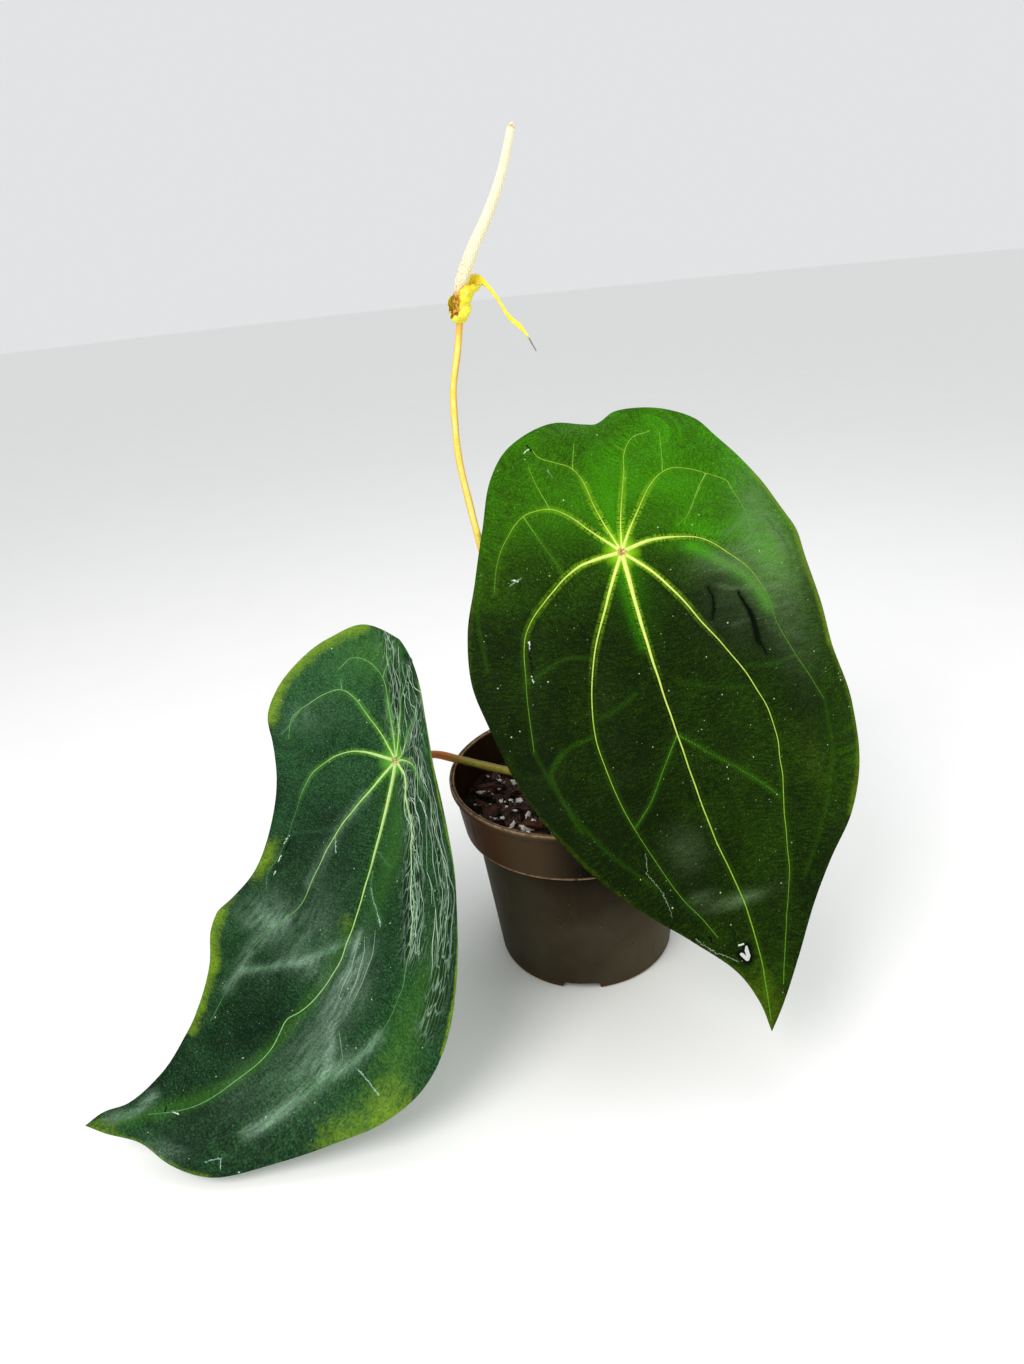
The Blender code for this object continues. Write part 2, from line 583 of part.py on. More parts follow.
def build_stalks():
    olive = material("petiole_olive", (0.32, 0.25, 0.045), 0.55)
    yellow = material("peduncle_yellow", (0.68, 0.46, 0.07), 0.5)
    cutters = []
    sides = 10
    for name, stalk, leaf, mat in (("petiole_right", PETIOLE_RIGHT, BLADE_RIGHT, olive),
                                   ("petiole_left", PETIOLE_LEFT, BLADE_LEFT, olive),
                                   ("peduncle", PEDUNCLE, None, yellow)):
        route = to_hub(stalk["route"], leaf) if leaf else stalk["route"]
        add_object(name, sweep(route, stalk["radius"], sides), mat, smooth=True)
        root = np.asarray(stalk["route"][0])
        heading = unit(np.asarray(stalk["route"][1]) - root)
        socket = sweep([root - heading * 2 * GAP] + stalk["route"][:3],
                       (stalk["radius"][0] + GAP * 1.3,) * 2, sides)
        cutters.append(as_cutter(add_object(name + "_socket", socket)))
    return cutters


def build_spadix():
    cream = material("spadix_cream", (0.86, 0.78, 0.5), 0.5)
    bm = sweep(SPADIX["route"], SPADIX["radius"], SPADIX_SIDES, relief=FLORET_RELIEF,
               rings=SPADIX_RINGS, tip=0.8)
    return add_object("spadix", bm, cream, smooth=True)


def build_spathe():
    keys = np.arange(len(SPATHE), dtype=float)
    table = np.column_stack([keys, [row[0] for row in SPATHE], [row[1] for row in SPATHE],
                             [row[2] for row in SPATHE]])
    rows = smooth_rows(table, np.linspace(0, keys[-1], 2 * len(SPATHE) + 3))
    line, width, radius = rows[:, :3], rows[:, 3], rows[:, 4]
    tangent = unit(np.gradient(line, axis=0))
    inward = Vector((-1, 0.1, 0.0))
    bm = bmesh.new()
    outer, inner = [], []
    for k, point in enumerate(line):
        axis = Vector(tangent[k])
        inward = (inward - axis * inward.dot(axis)).normalized()
        side = axis.cross(inward)
        for ring, depth in ((outer, 0.0), (inner, SPATHE_SHEET)):
            row = []
            for n in range(SPATHE_COLUMNS + 1):
                turn = (n / SPATHE_COLUMNS - 0.5) * width[k] / radius[k]
                reach = max(radius[k] - depth, 0.05)
                frill = 1 + 0.09 * (1 + math.sin(3.0 * k + n)) * (k < 10)
                row.append(bm.verts.new(Vector(point) + inward * (radius[k] - reach * math.cos(turn))
                                        + side * reach * math.sin(turn) * frill))
            ring.append(row)
    for k in range(len(line) - 1):
        for n in range(SPATHE_COLUMNS):
            for ring, order in ((outer, 1), (inner, -1)):
                quad = (ring[k][n], ring[k][n + 1], ring[k + 1][n + 1], ring[k + 1][n])[::order]
                bm.faces.new(quad[:3])
                bm.faces.new((quad[0], quad[2], quad[3]))
        for n in (0, SPATHE_COLUMNS):
            quad = (outer[k][n], outer[k + 1][n], inner[k + 1][n], inner[k][n])
            bm.faces.new(quad if n == 0 else quad[::-1])
    for k in (0, len(line) - 1):
        for n in range(SPATHE_COLUMNS):
            quad = (outer[k][n], outer[k][n + 1], inner[k][n + 1], inner[k][n])
            bm.faces.new(quad[::-1] if k == 0 else quad)
    bmesh.ops.recalc_face_normals(bm, faces=bm.faces)
    bmesh.ops.triangulate(bm, faces=bm.faces)
    yellow = material("spathe_yellow", (0.8, 0.6, 0.09), 0.5)
    return add_object("spathe", bm, yellow, smooth=True)


def build_plant():
    clear_scene()
    build_pot()
    mix = build_mix()
    stem = build_stem()
    for socket in build_stalks():
        cut(stem, socket)
    hole = bmesh.new()
    depth = 30.0
    bmesh.ops.create_cone(hole, cap_ends=True, segments=12, radius1=STEM_RADIUS + 1.5 * GAP,
                          radius2=STEM_RADIUS + 1.5 * GAP, depth=depth,
                          matrix=Matrix.Translation((*STEM_CENTRE, STEM_BOTTOM - GAP + depth / 2)))
    cut(mix, as_cutter(add_object("stem_hole", hole)))
    dark_green = material("leaf_green", (0.022, 0.075, 0.012), 0.45)
    blue_green = material("leaf_blue_green", (0.025, 0.085, 0.035), 0.38)
    build_blade("blade_right", BLADE_RIGHT, dark_green)
    build_blade("blade_left", BLADE_LEFT, blue_green)
    build_spadix()
    build_spathe()


build_plant()
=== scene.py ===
import math
import random

import bmesh
import bpy
import numpy as np
from mathutils import Matrix, Vector, kdtree, noise


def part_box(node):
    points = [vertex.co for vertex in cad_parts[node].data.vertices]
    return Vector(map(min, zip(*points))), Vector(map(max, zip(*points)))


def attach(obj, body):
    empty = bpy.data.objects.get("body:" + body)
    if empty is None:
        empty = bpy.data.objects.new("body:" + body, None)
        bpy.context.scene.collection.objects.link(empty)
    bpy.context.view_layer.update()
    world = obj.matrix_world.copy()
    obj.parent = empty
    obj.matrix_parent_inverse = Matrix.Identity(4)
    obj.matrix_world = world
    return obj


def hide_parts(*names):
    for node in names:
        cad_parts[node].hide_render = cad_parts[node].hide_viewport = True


# Potted anthurium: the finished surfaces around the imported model.
# Lengths below are in millimetres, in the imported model's frame, and mm turns them into metres.

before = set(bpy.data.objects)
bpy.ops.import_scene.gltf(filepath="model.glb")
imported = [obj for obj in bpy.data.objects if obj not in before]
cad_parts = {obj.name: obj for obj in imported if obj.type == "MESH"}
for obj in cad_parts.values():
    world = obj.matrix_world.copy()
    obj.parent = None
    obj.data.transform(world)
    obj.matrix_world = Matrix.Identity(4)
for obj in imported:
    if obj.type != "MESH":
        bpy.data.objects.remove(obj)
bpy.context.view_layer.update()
mm = 0.001
flatScale = 100.0  # millimetres of a leaf's flat pattern in one unit of its UV map
random.seed(7)
print("frame loaded")


# Maths on rows of points

def unit(rows):
    return rows / np.linalg.norm(rows, axis=-1, keepdims=True)


def between(a, b, share):
    return a + (b - a) * share


def fade(x, start, end):  # 0 before start, 1 after end, smooth between
    t = np.clip((np.asarray(x, float) - start) / (end - start), 0, 1)
    return t * t * (3 - 2 * t)


def bell(x, width):  # 1 at zero, and soft to both sides
    return np.exp(-(x / width) ** 2)


def blob(u, v, centre, size):
    return np.exp(-((u - centre[0]) / size[0]) ** 2 - ((v - centre[1]) / size[1]) ** 2)


def smoothRows(table, at):  # cubic curve through rows of (key, values...)
    rows = np.asarray(table, float)
    keys, values = rows[:, 0], rows[:, 1:]
    at = np.clip(np.atleast_1d(np.asarray(at, float)), keys[0], keys[-1])
    secant = (values[1:] - values[:-1]) / (keys[1:] - keys[:-1])[:, None]
    tangent = np.vstack([secant[:1], (secant[1:] + secant[:-1]) / 2, secant[-1:]])
    i = np.clip(np.searchsorted(keys, at) - 1, 0, len(keys) - 2)
    span = (keys[i + 1] - keys[i])[:, None]
    s = (at - keys[i])[:, None] / span
    return (values[i] * (1 + 2 * s) * (1 - s) ** 2 + tangent[i] * span * s * (1 - s) ** 2
            + values[i + 1] * s ** 2 * (3 - 2 * s) - tangent[i + 1] * span * s ** 2 * (1 - s))


def withReach(points):  # rows of (way along the line, point)
    places = np.asarray(points, float)
    steps = np.linalg.norm(np.diff(places, axis=0), axis=1)
    return np.column_stack([np.r_[0.0, np.cumsum(steps)], places])


def lengthOf(points):
    return float(np.linalg.norm(np.diff(np.asarray(points, float), axis=0), axis=1).sum())


def along(points, shares):  # smooth curve through points, read at shares of its length
    rows = withReach(points)
    return smoothRows(rows, np.asarray(shares) * rows[-1, 0])


def evenly(points, spacing):
    return along(points, np.linspace(0, 1, max(2, int(lengthOf(points) / spacing) + 1)))


def nearestOn(points, line):  # distance to a line of points, and how far along it the foot lies
    far, run = np.full(len(points), 1e9), np.zeros(len(points))
    done = 0.0
    for a, b in zip(line, line[1:]):
        span = b - a
        size = float(np.linalg.norm(span))
        if size < 1e-6:
            continue
        share = np.clip((points - a) @ span / size ** 2, 0, 1)
        gap = np.linalg.norm(points - a - share[:, None] * span, axis=1)
        closer = gap < far
        far[closer], run[closer] = gap[closer], done + share[closer] * size
        done += size
    return far, run


def arc(centre, radius, start, end, count):  # points of a rounded edge, angles in degrees
    angles = np.radians(np.linspace(start, end, count))
    return [(centre[0] + radius * math.cos(a), centre[1] + radius * math.sin(a)) for a in angles]


# Meshes and pieces

def meshOf(bm, name):
    mesh = bpy.data.meshes.new(name)
    bm.to_mesh(mesh)
    bm.free()
    return mesh


def pour(target, bm):  # adds one bmesh to another
    mesh = meshOf(bm, "part")
    target.from_mesh(mesh)
    bpy.data.meshes.remove(mesh)


def turnedBy(degrees, axis="Z"):
    return Matrix.Rotation(math.radians(degrees), 3, axis)


def put(name, data):  # a new object in the scene
    obj = bpy.data.objects.new(name, data)
    bpy.context.scene.collection.objects.link(obj)
    return obj


def finished(obj):  # the mesh of an object, with its bevel or modifiers in it
    bpy.context.view_layer.update()
    return bpy.data.meshes.new_from_object(obj.evaluated_get(
        bpy.context.evaluated_depsgraph_get()))


def readPoints(mesh):
    co = np.empty(len(mesh.vertices) * 3, np.float32)
    mesh.vertices.foreach_get("co", co)
    return co.reshape(-1, 3).astype(float)


def writePoints(mesh, points):
    mesh.vertices.foreach_set("co", np.asarray(points, np.float32).ravel())
    mesh.update()


def paint(mesh, name, values):  # a value for each vertex, for the materials to read
    mesh.attributes.new(name, "FLOAT", "POINT").data.foreach_set(
        "value", np.asarray(values, np.float32))


def paintMap(mesh, name, flat):  # a UV map from one flat place for each vertex
    corners = np.empty(len(mesh.loops), np.int32)
    mesh.loops.foreach_get("vertex_index", corners)
    layer = mesh.uv_layers.new(name=name)
    layer.data.foreach_set("uv", np.asarray(flat / flatScale, np.float32)[corners].ravel())


def paintAlong(mesh, routes, name, values):  # to each vertex, the value of the nearest route point
    places = np.vstack(routes)
    tree = kdtree.KDTree(len(places))
    for k, place in enumerate(places):
        tree.insert(place * mm, k)
    tree.balance()
    listed = np.concatenate(values)
    paint(mesh, name, [listed[tree.find(vert.co)[1]] for vert in mesh.vertices])


def addPiece(name, mesh, mat, replaced=(), smooth=True):
    obj = put(name, mesh)
    if not mesh.materials:
        mesh.materials.append(mat)
    if smooth:
        mesh.shade_smooth()
    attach(obj, "root")
    if replaced:
        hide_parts(*replaced)
    return obj


def addSolid(name, bm, mat, replaced=(), smooth=True):  # from a bmesh in millimetres
    bmesh.ops.scale(bm, vec=(mm, mm, mm), verts=bm.verts)
    addPiece(name, meshOf(bm, name), mat, replaced, smooth)


def tubes(name, routes, sides=5):  # round stalks: each route is (points in mm, radii in mm)
    curve = bpy.data.curves.new(name, "CURVE")
    curve.dimensions = "3D"
    curve.bevel_depth = mm
    curve.bevel_resolution = sides
    curve.use_fill_caps = True
    for points, radii in routes:
        spline = curve.splines.new("POLY")
        spline.points.add(len(points) - 1)
        flat = np.column_stack([np.asarray(points) * mm, np.ones(len(points))])
        spline.points.foreach_set("co", flat.astype(np.float32).ravel())
        spline.points.foreach_set("radius", np.asarray(radii, np.float32))
    holder = put(name, curve)
    mesh = finished(holder)
    bpy.data.objects.remove(holder)
    bm = bmesh.new()
    bm.from_mesh(mesh)
    bmesh.ops.remove_doubles(bm, verts=bm.verts, dist=1e-7)
    bmesh.ops.recalc_face_normals(bm, faces=bm.faces)
    bm.to_mesh(mesh)
    bm.free()
    mesh.name = name
    return mesh


def turned(profile, steps):  # spun about the pot's axis from (radius, height) points
    bm = bmesh.new()
    points = [bm.verts.new((radius, 0, height)) for radius, height in profile]
    edges = [bm.edges.new(pair) for pair in zip(points, points[1:])]
    bmesh.ops.spin(bm, geom=points + edges, axis=(0, 0, 1), cent=(0, 0, 0), angle=2 * math.pi,
                   steps=steps, use_merge=True)
    bmesh.ops.remove_doubles(bm, verts=bm.verts, dist=1e-5)
    bmesh.ops.recalc_face_normals(bm, faces=bm.faces)
    return bm


def cutAll(obj, cutters):  # cuts each shape out of a piece for good
    tools = [put("tool", meshOf(bm, "tool")) for bm in cutters]
    for tool in tools:
        mod = obj.modifiers.new("cut", "BOOLEAN")
        mod.operation = "DIFFERENCE"
        mod.object = tool
    result = finished(obj)
    obj.modifiers.clear()
    for tool in tools:
        bpy.data.objects.remove(tool)
    bm = bmesh.new()
    bm.from_mesh(result)
    bm.to_mesh(obj.data)
    bm.free()


# Materials and shared effects

class Nodes:  # adds nodes to the tree of a material or of a shared effect
    def __init__(self, tree):
        self.tree = tree

    def feed(self, target, values):  # links or sets inputs, by their place or label
        for key, value in values.items():
            if isinstance(value, bpy.types.NodeSocket):
                self.tree.links.new(value, target.inputs[key])
            elif value is not None:
                target.inputs[key].default_value = value
        return target.outputs

    def add(self, kind, *first, **settings):  # a node's outputs, its first inputs fed in order
        made = self.tree.nodes.new("ShaderNode" + kind)
        for key, value in settings.items():
            setattr(made, key, value)
        return self.feed(made, dict(enumerate(first)))

    def sums(self, operation, a, b=None, clamp=False):
        return self.add("Math", a, b, operation=operation, use_clamp=clamp)[0]

    def times(self, first, *others):
        for other in others:
            first = self.sums("MULTIPLY", first, other)
        return first

    def plus(self, a, b, clamp=False):
        return self.sums("ADD", a, b, clamp)

    def most(self, a, b):
        return self.sums("MAXIMUM", a, b)

    def vector(self, operation, a, b=None):
        return self.add("VectorMath", a, b, operation=operation)

    def longer(self, place, size):  # a vector times one number
        made = self.tree.nodes.new("ShaderNodeVectorMath")
        made.operation = "SCALE"
        return self.feed(made, {0: place, "Scale": size})[0]

    def stretched(self, place, *scale):
        return self.vector("MULTIPLY", place, scale)[0]

    def ranged(self, value, low, high, newLow=0.0, newHigh=1.0):
        return self.add("MapRange", value, low, high, newLow, newHigh, clamp=True)[0]

    def swing(self, value, amount, low=0.3, high=0.7):  # a noise read as up to 'amount' each way
        return self.ranged(value, low, high, -amount, amount)

    def mixed(self, factor, a, b):
        a, b = [(*color, 1.0) if isinstance(color, tuple) else color for color in (a, b)]
        made = self.tree.nodes.new("ShaderNodeMix")
        made.data_type = "RGBA"
        return self.feed(made, {"Factor": factor, 6: a, 7: b})[2]

    def ramped(self, value, colors):  # evenly spaced colours read at a value from 0 to 1
        made = self.tree.nodes.new("ShaderNodeValToRGB")
        stops = made.color_ramp.elements
        stops[0].color, stops[1].color = (*colors[0], 1), (*colors[-1], 1)
        for k, color in enumerate(colors[1:-1], 1):
            stops.new(k / (len(colors) - 1)).color = (*color, 1)
        return self.feed(made, {0: value})[0]

    def noise(self, place, scale, **values):
        made = self.tree.nodes.new("ShaderNodeTexNoise")
        return self.feed(made, {"Vector": place, "Scale": scale, **values})

    def cells(self, feature, place, scale):
        made = self.tree.nodes.new("ShaderNodeTexVoronoi")
        made.feature = feature
        return self.feed(made, {"Vector": place, "Scale": scale})


class Skin(Nodes):  # a material: colours laid one over the other
    def __init__(self, name, roughness, specular=0.5, flat=None):
        self.mat = bpy.data.materials.new(name)
        self.mat.use_nodes = True
        super().__init__(self.mat.node_tree)
        self.shader = self.tree.nodes["Principled BSDF"]
        self.feed(self.shader, {"Roughness": roughness, "Specular IOR Level": specular})
        if flat:
            self.place = self.flatPlace(flat, flatScale, flatScale)
        else:
            self.place = self.stretched(self.add("TexCoord")["Object"], 1 / mm, 1 / mm, 1 / mm)

    def flatPlace(self, label, across, down):  # a UV map's place, in millimetres or stretched
        return self.stretched(self.add("UVMap", uv_map=label)[0], across, down, 1.0)

    def painted(self, label):
        return self.add("Attribute", attribute_name=label)["Fac"]

    def cloud(self, size, detail=3.0, rough=0.55, place=None):  # soft noise, features of 'size'
        place = self.place if place is None else place
        return self.noise(place, 1.0 / size, Detail=detail, Roughness=rough)[0]

    def placed(self, group, **values):  # a shared effect
        made = self.tree.nodes.new("ShaderNodeGroup")
        made.node_tree = group
        return self.feed(made, {"Place": self.place, **values})[0]

    def start(self, mask, a, b):
        self.tone = self.mixed(mask, a, b)

    def lay(self, color, *masks):  # a colour over the others, where all the masks are
        self.tone = self.mixed(self.times(*masks), self.tone, color)

    def done(self, height=None, depth=0.0, strength=1.0, rough=None):  # depth of the relief in mm
        self.feed(self.shader, {"Base Color": self.tone, "Roughness": rough})
        if height is not None:
            made = self.tree.nodes.new("ShaderNodeBump")
            relief = {"Strength": strength, "Distance": depth * mm, "Height": height}
            self.feed(self.shader, {"Normal": self.feed(made, relief)[0]})
        return self.mat


def effect(name, output, vectors, **values):  # an empty node group, its nodes, inputs and exit
    tree = bpy.data.node_groups.new(name, "ShaderNodeTree")
    for label in vectors:
        tree.interface.new_socket(label, in_out="INPUT", socket_type="NodeSocketVector")
    for label, value in values.items():
        socket = tree.interface.new_socket(label, in_out="INPUT", socket_type="NodeSocketFloat")
        socket.default_value = value
    tree.interface.new_socket(output, in_out="OUTPUT", socket_type="NodeSocketFloat")
    return Nodes(tree), tree.nodes.new("NodeGroupInput").outputs, tree.nodes.new("NodeGroupOutput")


def speckEffect():  # small round specks, one in some of the cells of a random lattice
    nodes, given, leave = effect("specks", "Mask", ["Place"], Spacing=3.0, Radius=0.2, Share=0.5)
    cells = nodes.cells("F1", given["Place"], nodes.sums("DIVIDE", 1.0, given["Spacing"]))
    chance = nodes.add("SeparateColor", cells["Color"])
    kept = nodes.sums("LESS_THAN", chance[0], given["Share"])
    radius = nodes.times(given["Radius"], nodes.ranged(chance[1], 0, 1, 0.4, 1.3))
    radius = nodes.sums("DIVIDE", radius, given["Spacing"])
    dot = nodes.ranged(cells["Distance"], radius, nodes.times(radius, 0.55))
    nodes.feed(leave, {0: nodes.times(dot, kept)})
    return nodes.tree


def netEffect():  # lines of a random net, bright at the lines, with soft shoulders
    nodes, given, leave = effect("net", "Lines", ["Place"], Spacing=2.0, Width=0.12, Warp=0.5)
    scale = nodes.sums("DIVIDE", 1.0, given["Spacing"])
    wobble = nodes.noise(given["Place"], scale, Detail=2.0)["Color"]
    shift = nodes.longer(nodes.vector("ADD", wobble, (-0.5, -0.5, -0.5))[0],
                         nodes.times(given["Warp"], given["Spacing"]))
    place = nodes.vector("ADD", given["Place"], shift)[0]
    cells = nodes.cells("DISTANCE_TO_EDGE", place, scale)
    nodes.feed(leave, {0: nodes.ranged(cells["Distance"], given["Width"], 0.0)})
    return nodes.tree


def streakEffect():  # a fine line between two flat points, such as a scratch
    nodes, given, leave = effect("streak", "Mask", ["Place", "From", "To"], Width=0.5)
    span = nodes.vector("SUBTRACT", given["To"], given["From"])[0]
    away = nodes.vector("SUBTRACT", given["Place"], given["From"])[0]
    top, size = [nodes.vector("DOT_PRODUCT", side, span)["Value"] for side in (away, span)]
    foot = nodes.longer(span, nodes.sums("DIVIDE", top, size, clamp=True))
    gap = nodes.vector("DISTANCE", away, foot)["Value"]
    nodes.feed(leave, {0: nodes.ranged(gap, given["Width"], 0.0)})
    return nodes.tree


specks, netLines, streak = speckEffect(), netEffect(), streakEffect()
print("shared effects built")


# Stage

stageLook = {
    "floorRadius": 9.0, "floorColor": (0.92, 0.92, 0.91), "floorShade": 0.985, "floorGrain": 60.0,
    "skyColor": (0.93, 0.94, 0.95), "skyStrength": 0.82,
    "cameraPlace": (-25.3, -372.2, 320.5), "cameraDown": 25.04, "cameraRoll": -6.0,
    "focalPixels": 900.0, "imageHeight": 1364.0, "sensor": 36.0,
    "lights": [  # name, place, aim, width, watts, colour
        ("key", (-420, -520, 760), (0, 0, 120), 520, 4.6, (1.0, 0.98, 0.95)),
        ("top", (160, 240, 900), (20, -20, 150), 600, 1.6, (0.95, 0.98, 1.0)),
        ("side", (620, -260, 320), (0, 0, 120), 420, 0.9, (1.0, 0.97, 0.93)),
    ],
}


def buildFloor(look):
    bm = bmesh.new()
    bmesh.ops.create_circle(bm, cap_ends=True, segments=96, radius=look["floorRadius"])
    skin = Skin("pale_floor", 0.75)
    skin.start(skin.ranged(skin.cloud(look["floorGrain"]), 0.3, 0.7), look["floorColor"],
               tuple(c * look["floorShade"] for c in look["floorColor"]))
    floor = put("floor", meshOf(bm, "floor"))
    floor.data.materials.append(skin.done())


def buildLight(look):
    world = bpy.data.worlds.new("studio")
    world.use_nodes = True
    sky = world.node_tree.nodes["Background"]
    sky.inputs["Color"].default_value = (*look["skyColor"], 1)
    sky.inputs["Strength"].default_value = look["skyStrength"]
    bpy.context.scene.world = world
    for name, place, aim, width, watts, color in look["lights"]:
        lamp = bpy.data.lights.new(name, "AREA")
        lamp.shape = "DISK"
        lamp.size = width * mm
        lamp.energy = watts
        lamp.color = color
        holder = put(name, lamp)
        holder.location = Vector(place) * mm
        holder.rotation_euler = (Vector(aim) - Vector(place)).to_track_quat("-Z", "Y").to_euler()


def buildCamera(look):
    lens = bpy.data.cameras.new("camera")
    lens.sensor_width = look["sensor"]
    lens.lens = look["sensor"] * look["focalPixels"] / look["imageHeight"]
    lens.clip_start = 0.01
    camera = put("camera", lens)
    turn = turnedBy(90 - look["cameraDown"], "X") @ turnedBy(look["cameraRoll"])
    camera.matrix_world = Matrix.Translation(Vector(look["cameraPlace"]) * mm) @ turn.to_4x4()
    bpy.context.scene.camera = camera
    bpy.context.scene.view_settings.view_transform = "Standard"


buildFloor(stageLook)
buildLight(stageLook)
buildCamera(stageLook)
print("stage, lights and camera set")


# Pot

potShape = {
    "height": 100.0, "rim": 60.0, "collarTop": 58.3, "collarFoot": 55.3, "collarLevel": 74.0,
    "bodyTop": 50.2, "bodyFoot": 43.7, "wall": 1.1, "lipHeight": 2.8, "footHeight": 3.2,
    "footWidth": 2.3, "footInset": 1.7, "footRound": 1.9, "floorTop": 4.6, "pad": 14.0, "steps": 180,
    "notchWidth": 21.0, "notchHeight": 4.0, "notchLean": 2.2, "notchRound": 0.9, "notchCount": 4,
    "notchTurn": -99.5, "drainRadius": 3.5, "drainCircle": 27.0, "drainCount": 6, "cutLength": 16,
    "sharpFrom": 42,
}
potLook = {
    # dark is painted shade: on the upper body and the collar under the leaf, and inside the pot
    "body": (0.034, 0.026, 0.014), "dusty": (0.043, 0.037, 0.023), "red": (0.058, 0.017, 0.004),
    "tan": (0.054, 0.036, 0.019), "pale": (0.076, 0.064, 0.038), "collar": (0.036, 0.025, 0.014),
    # edge is the pale edges: painted highlight along the rounded edges, with wear
    "dark": (0.005, 0.0035, 0.0018), "edge": (0.36, 0.24, 0.15), "rust": (0.070, 0.034, 0.012),
    "dust": (0.16, 0.14, 0.11), "dirt": (0.012, 0.009, 0.007), "roughness": 0.45, "specular": 0.01,
    "leafShadowZone": [(48.0, 22.0), (10.0, -20.0)],  # x and y ranges of the painted shadow of the leaf, in front
    "shade": [(40.0, 72.0), (-45.0, -5.0)],  # z and x ranges of the painted shade on the upper body, under the collar and the leaf
    "collarTurn": (-3.0, -60.0), "collarShade": (-22.0, -3.0),  # x ranges of its red side, and of the painted shadow on its dark side
    "collarRise": (-0.8, 0.4),  # where its colour starts, from its lower edge
    "lowRightLighter": [(52.0, 18.0), (0.0, 36.0)],  # z and x ranges of the pale lower right
    "rusty": (5.0, 0.6),  # z range of the foot
}


def wallInside(shape, height):
    level = shape["collarLevel"]
    if height < level + shape["wall"]:
        return between(shape["bodyFoot"], shape["bodyTop"], height / level) - shape["wall"]
    share = (height - level) / (shape["height"] - shape["lipHeight"] - level)
    return between(shape["collarFoot"], shape["collarTop"], share) - shape["wall"]


def potMaterial(look, level):
    skin = Skin("pot_plastic", look["roughness"], look["specular"])
    x, y, z = skin.add("SeparateXYZ", skin.place)
    patch, fine = skin.cloud(22.0, 4.0), skin.cloud(2.4, 6.0, 0.7)
    skin.start(skin.ranged(patch, 0.36, 0.66), look["body"], look["dusty"])
    # painted shadow: the upper body and the right of the collar darkened in front, under the leaf
    leafShadowZone, shade, lowRightLighter = look["leafShadowZone"], look["shade"], look["lowRightLighter"]
    inLeafShadow = skin.times(skin.ranged(x, *leafShadowZone[0]), skin.ranged(y, *leafShadowZone[1]))
    skin.lay(look["dark"], skin.ranged(z, *shade[0]), skin.ranged(x, *shade[1]), inLeafShadow, 0.85)
    collar = skin.ramped(skin.ranged(x, *look["collarTurn"]),
                         [look[color] for color in ("collar", "tan", "tan", "red", "red")])
    collarShade = skin.times(inLeafShadow, skin.ranged(x, *look["collarShade"]))
    collar = skin.mixed(collarShade, collar, look["dark"])
    skin.lay(collar, skin.ranged(z, *[level + rise for rise in look["collarRise"]]), 0.9)
    # lighter towards the bottom right
    skin.lay(look["pale"], skin.ranged(z, *lowRightLighter[0]), skin.ranged(x, *lowRightLighter[1]), 0.8)
    skin.lay(look["rust"], skin.ranged(z, *look["rusty"]), skin.ranged(fine, 0.35, 0.6))
    # painted shade inside the pot and in the groove of the lip
    skin.lay(look["dark"], skin.painted("insideShade"))
    # pale edges: painted highlight with wear on the lip, collar and foot edges
    skin.lay(look["edge"], skin.painted("edge"), skin.ranged(fine, 0.32, 0.55))
    drips = skin.cloud(3.2, 5.0, 0.65, skin.stretched(skin.place, 1.0, 1.0, 0.12))
    drips = skin.ranged(drips, 0.55, 0.75)
    skin.lay(look["dusty"], drips, 0.25)
    skin.lay(look["dust"], skin.placed(specks, Spacing=2.6, Radius=0.22, Share=0.30), 0.7)
    skin.lay(look["dirt"], skin.placed(specks, Spacing=4.6, Radius=0.42, Share=0.22), 0.8)
    rough = skin.ranged(skin.plus(patch, drips), 0.35, 1.2, 0.32, 0.62)
    return skin.done(skin.plus(skin.times(fine, 0.6), skin.cloud(0.55)), 0.12, 0.5, rough)


def potProfile(shape):  # (radius, height) from the middle of the pad, up outside and down inside
    top, rim, wall = shape["height"], shape["rim"], shape["wall"]
    lip, level, floor = top - shape["lipHeight"], shape["collarLevel"], shape["floorTop"]
    foot, ring, heel = shape["bodyFoot"] - shape["footInset"], shape["footHeight"], shape["footRound"]
    ledge, inner = level + wall, foot - shape["footWidth"]
    base = [(0, 0), (shape["pad"], 0), (shape["pad"] + 0.5, 0.4), (shape["pad"] + 0.9, ring),
            (inner - 0.5, ring), (inner, 0.3), (inner + 0.3, 0), (foot, 0)]
    body = [(between(shape["bodyFoot"], shape["bodyTop"], s), between(heel, level, s))
            for s in np.linspace(0.02, 0.985, 24)]
    step = [(shape["bodyTop"] + 0.15, level - 0.25), (shape["bodyTop"] + 0.8, level),
            (shape["collarFoot"] - 0.6, level)]
    collar = [(between(shape["collarFoot"], shape["collarTop"], s), level + 0.8 + (lip - level - 1.5) * s)
              for s in np.linspace(0.03, 1, 10)]
    return (base + arc((foot - 0.2, heel), heel, -80, -8, 7) + body + step
            + arc((shape["collarFoot"] - 0.55, level + 0.5), 0.5, -80, 0, 4) + collar
            + [(shape["collarTop"] + 0.25, lip - 0.35)]
            + arc((rim - 0.75, lip + 0.65), 0.75, -75, 0, 5) + [(rim - 0.12, lip + 1.35)]
            + arc((rim - 0.62, top - 0.62), 0.62, 0, 90, 6) + [(rim - 1.2, top - 0.12)]
            + arc((rim - 1.75, top - 0.55), 0.55, 90, 175, 5)
            + [(rim - 2.35, top - 1.2), (shape["collarTop"] - wall, lip - 0.6)]
            + [(wallInside(shape, h), h) for h in (92.0, 86.0, 80.0, ledge)]
            + [(shape["bodyTop"] - wall, ledge)]
            + [(wallInside(shape, h), h) for h in (60.0, 40.0, 20.0, floor)] + [(0, floor)])


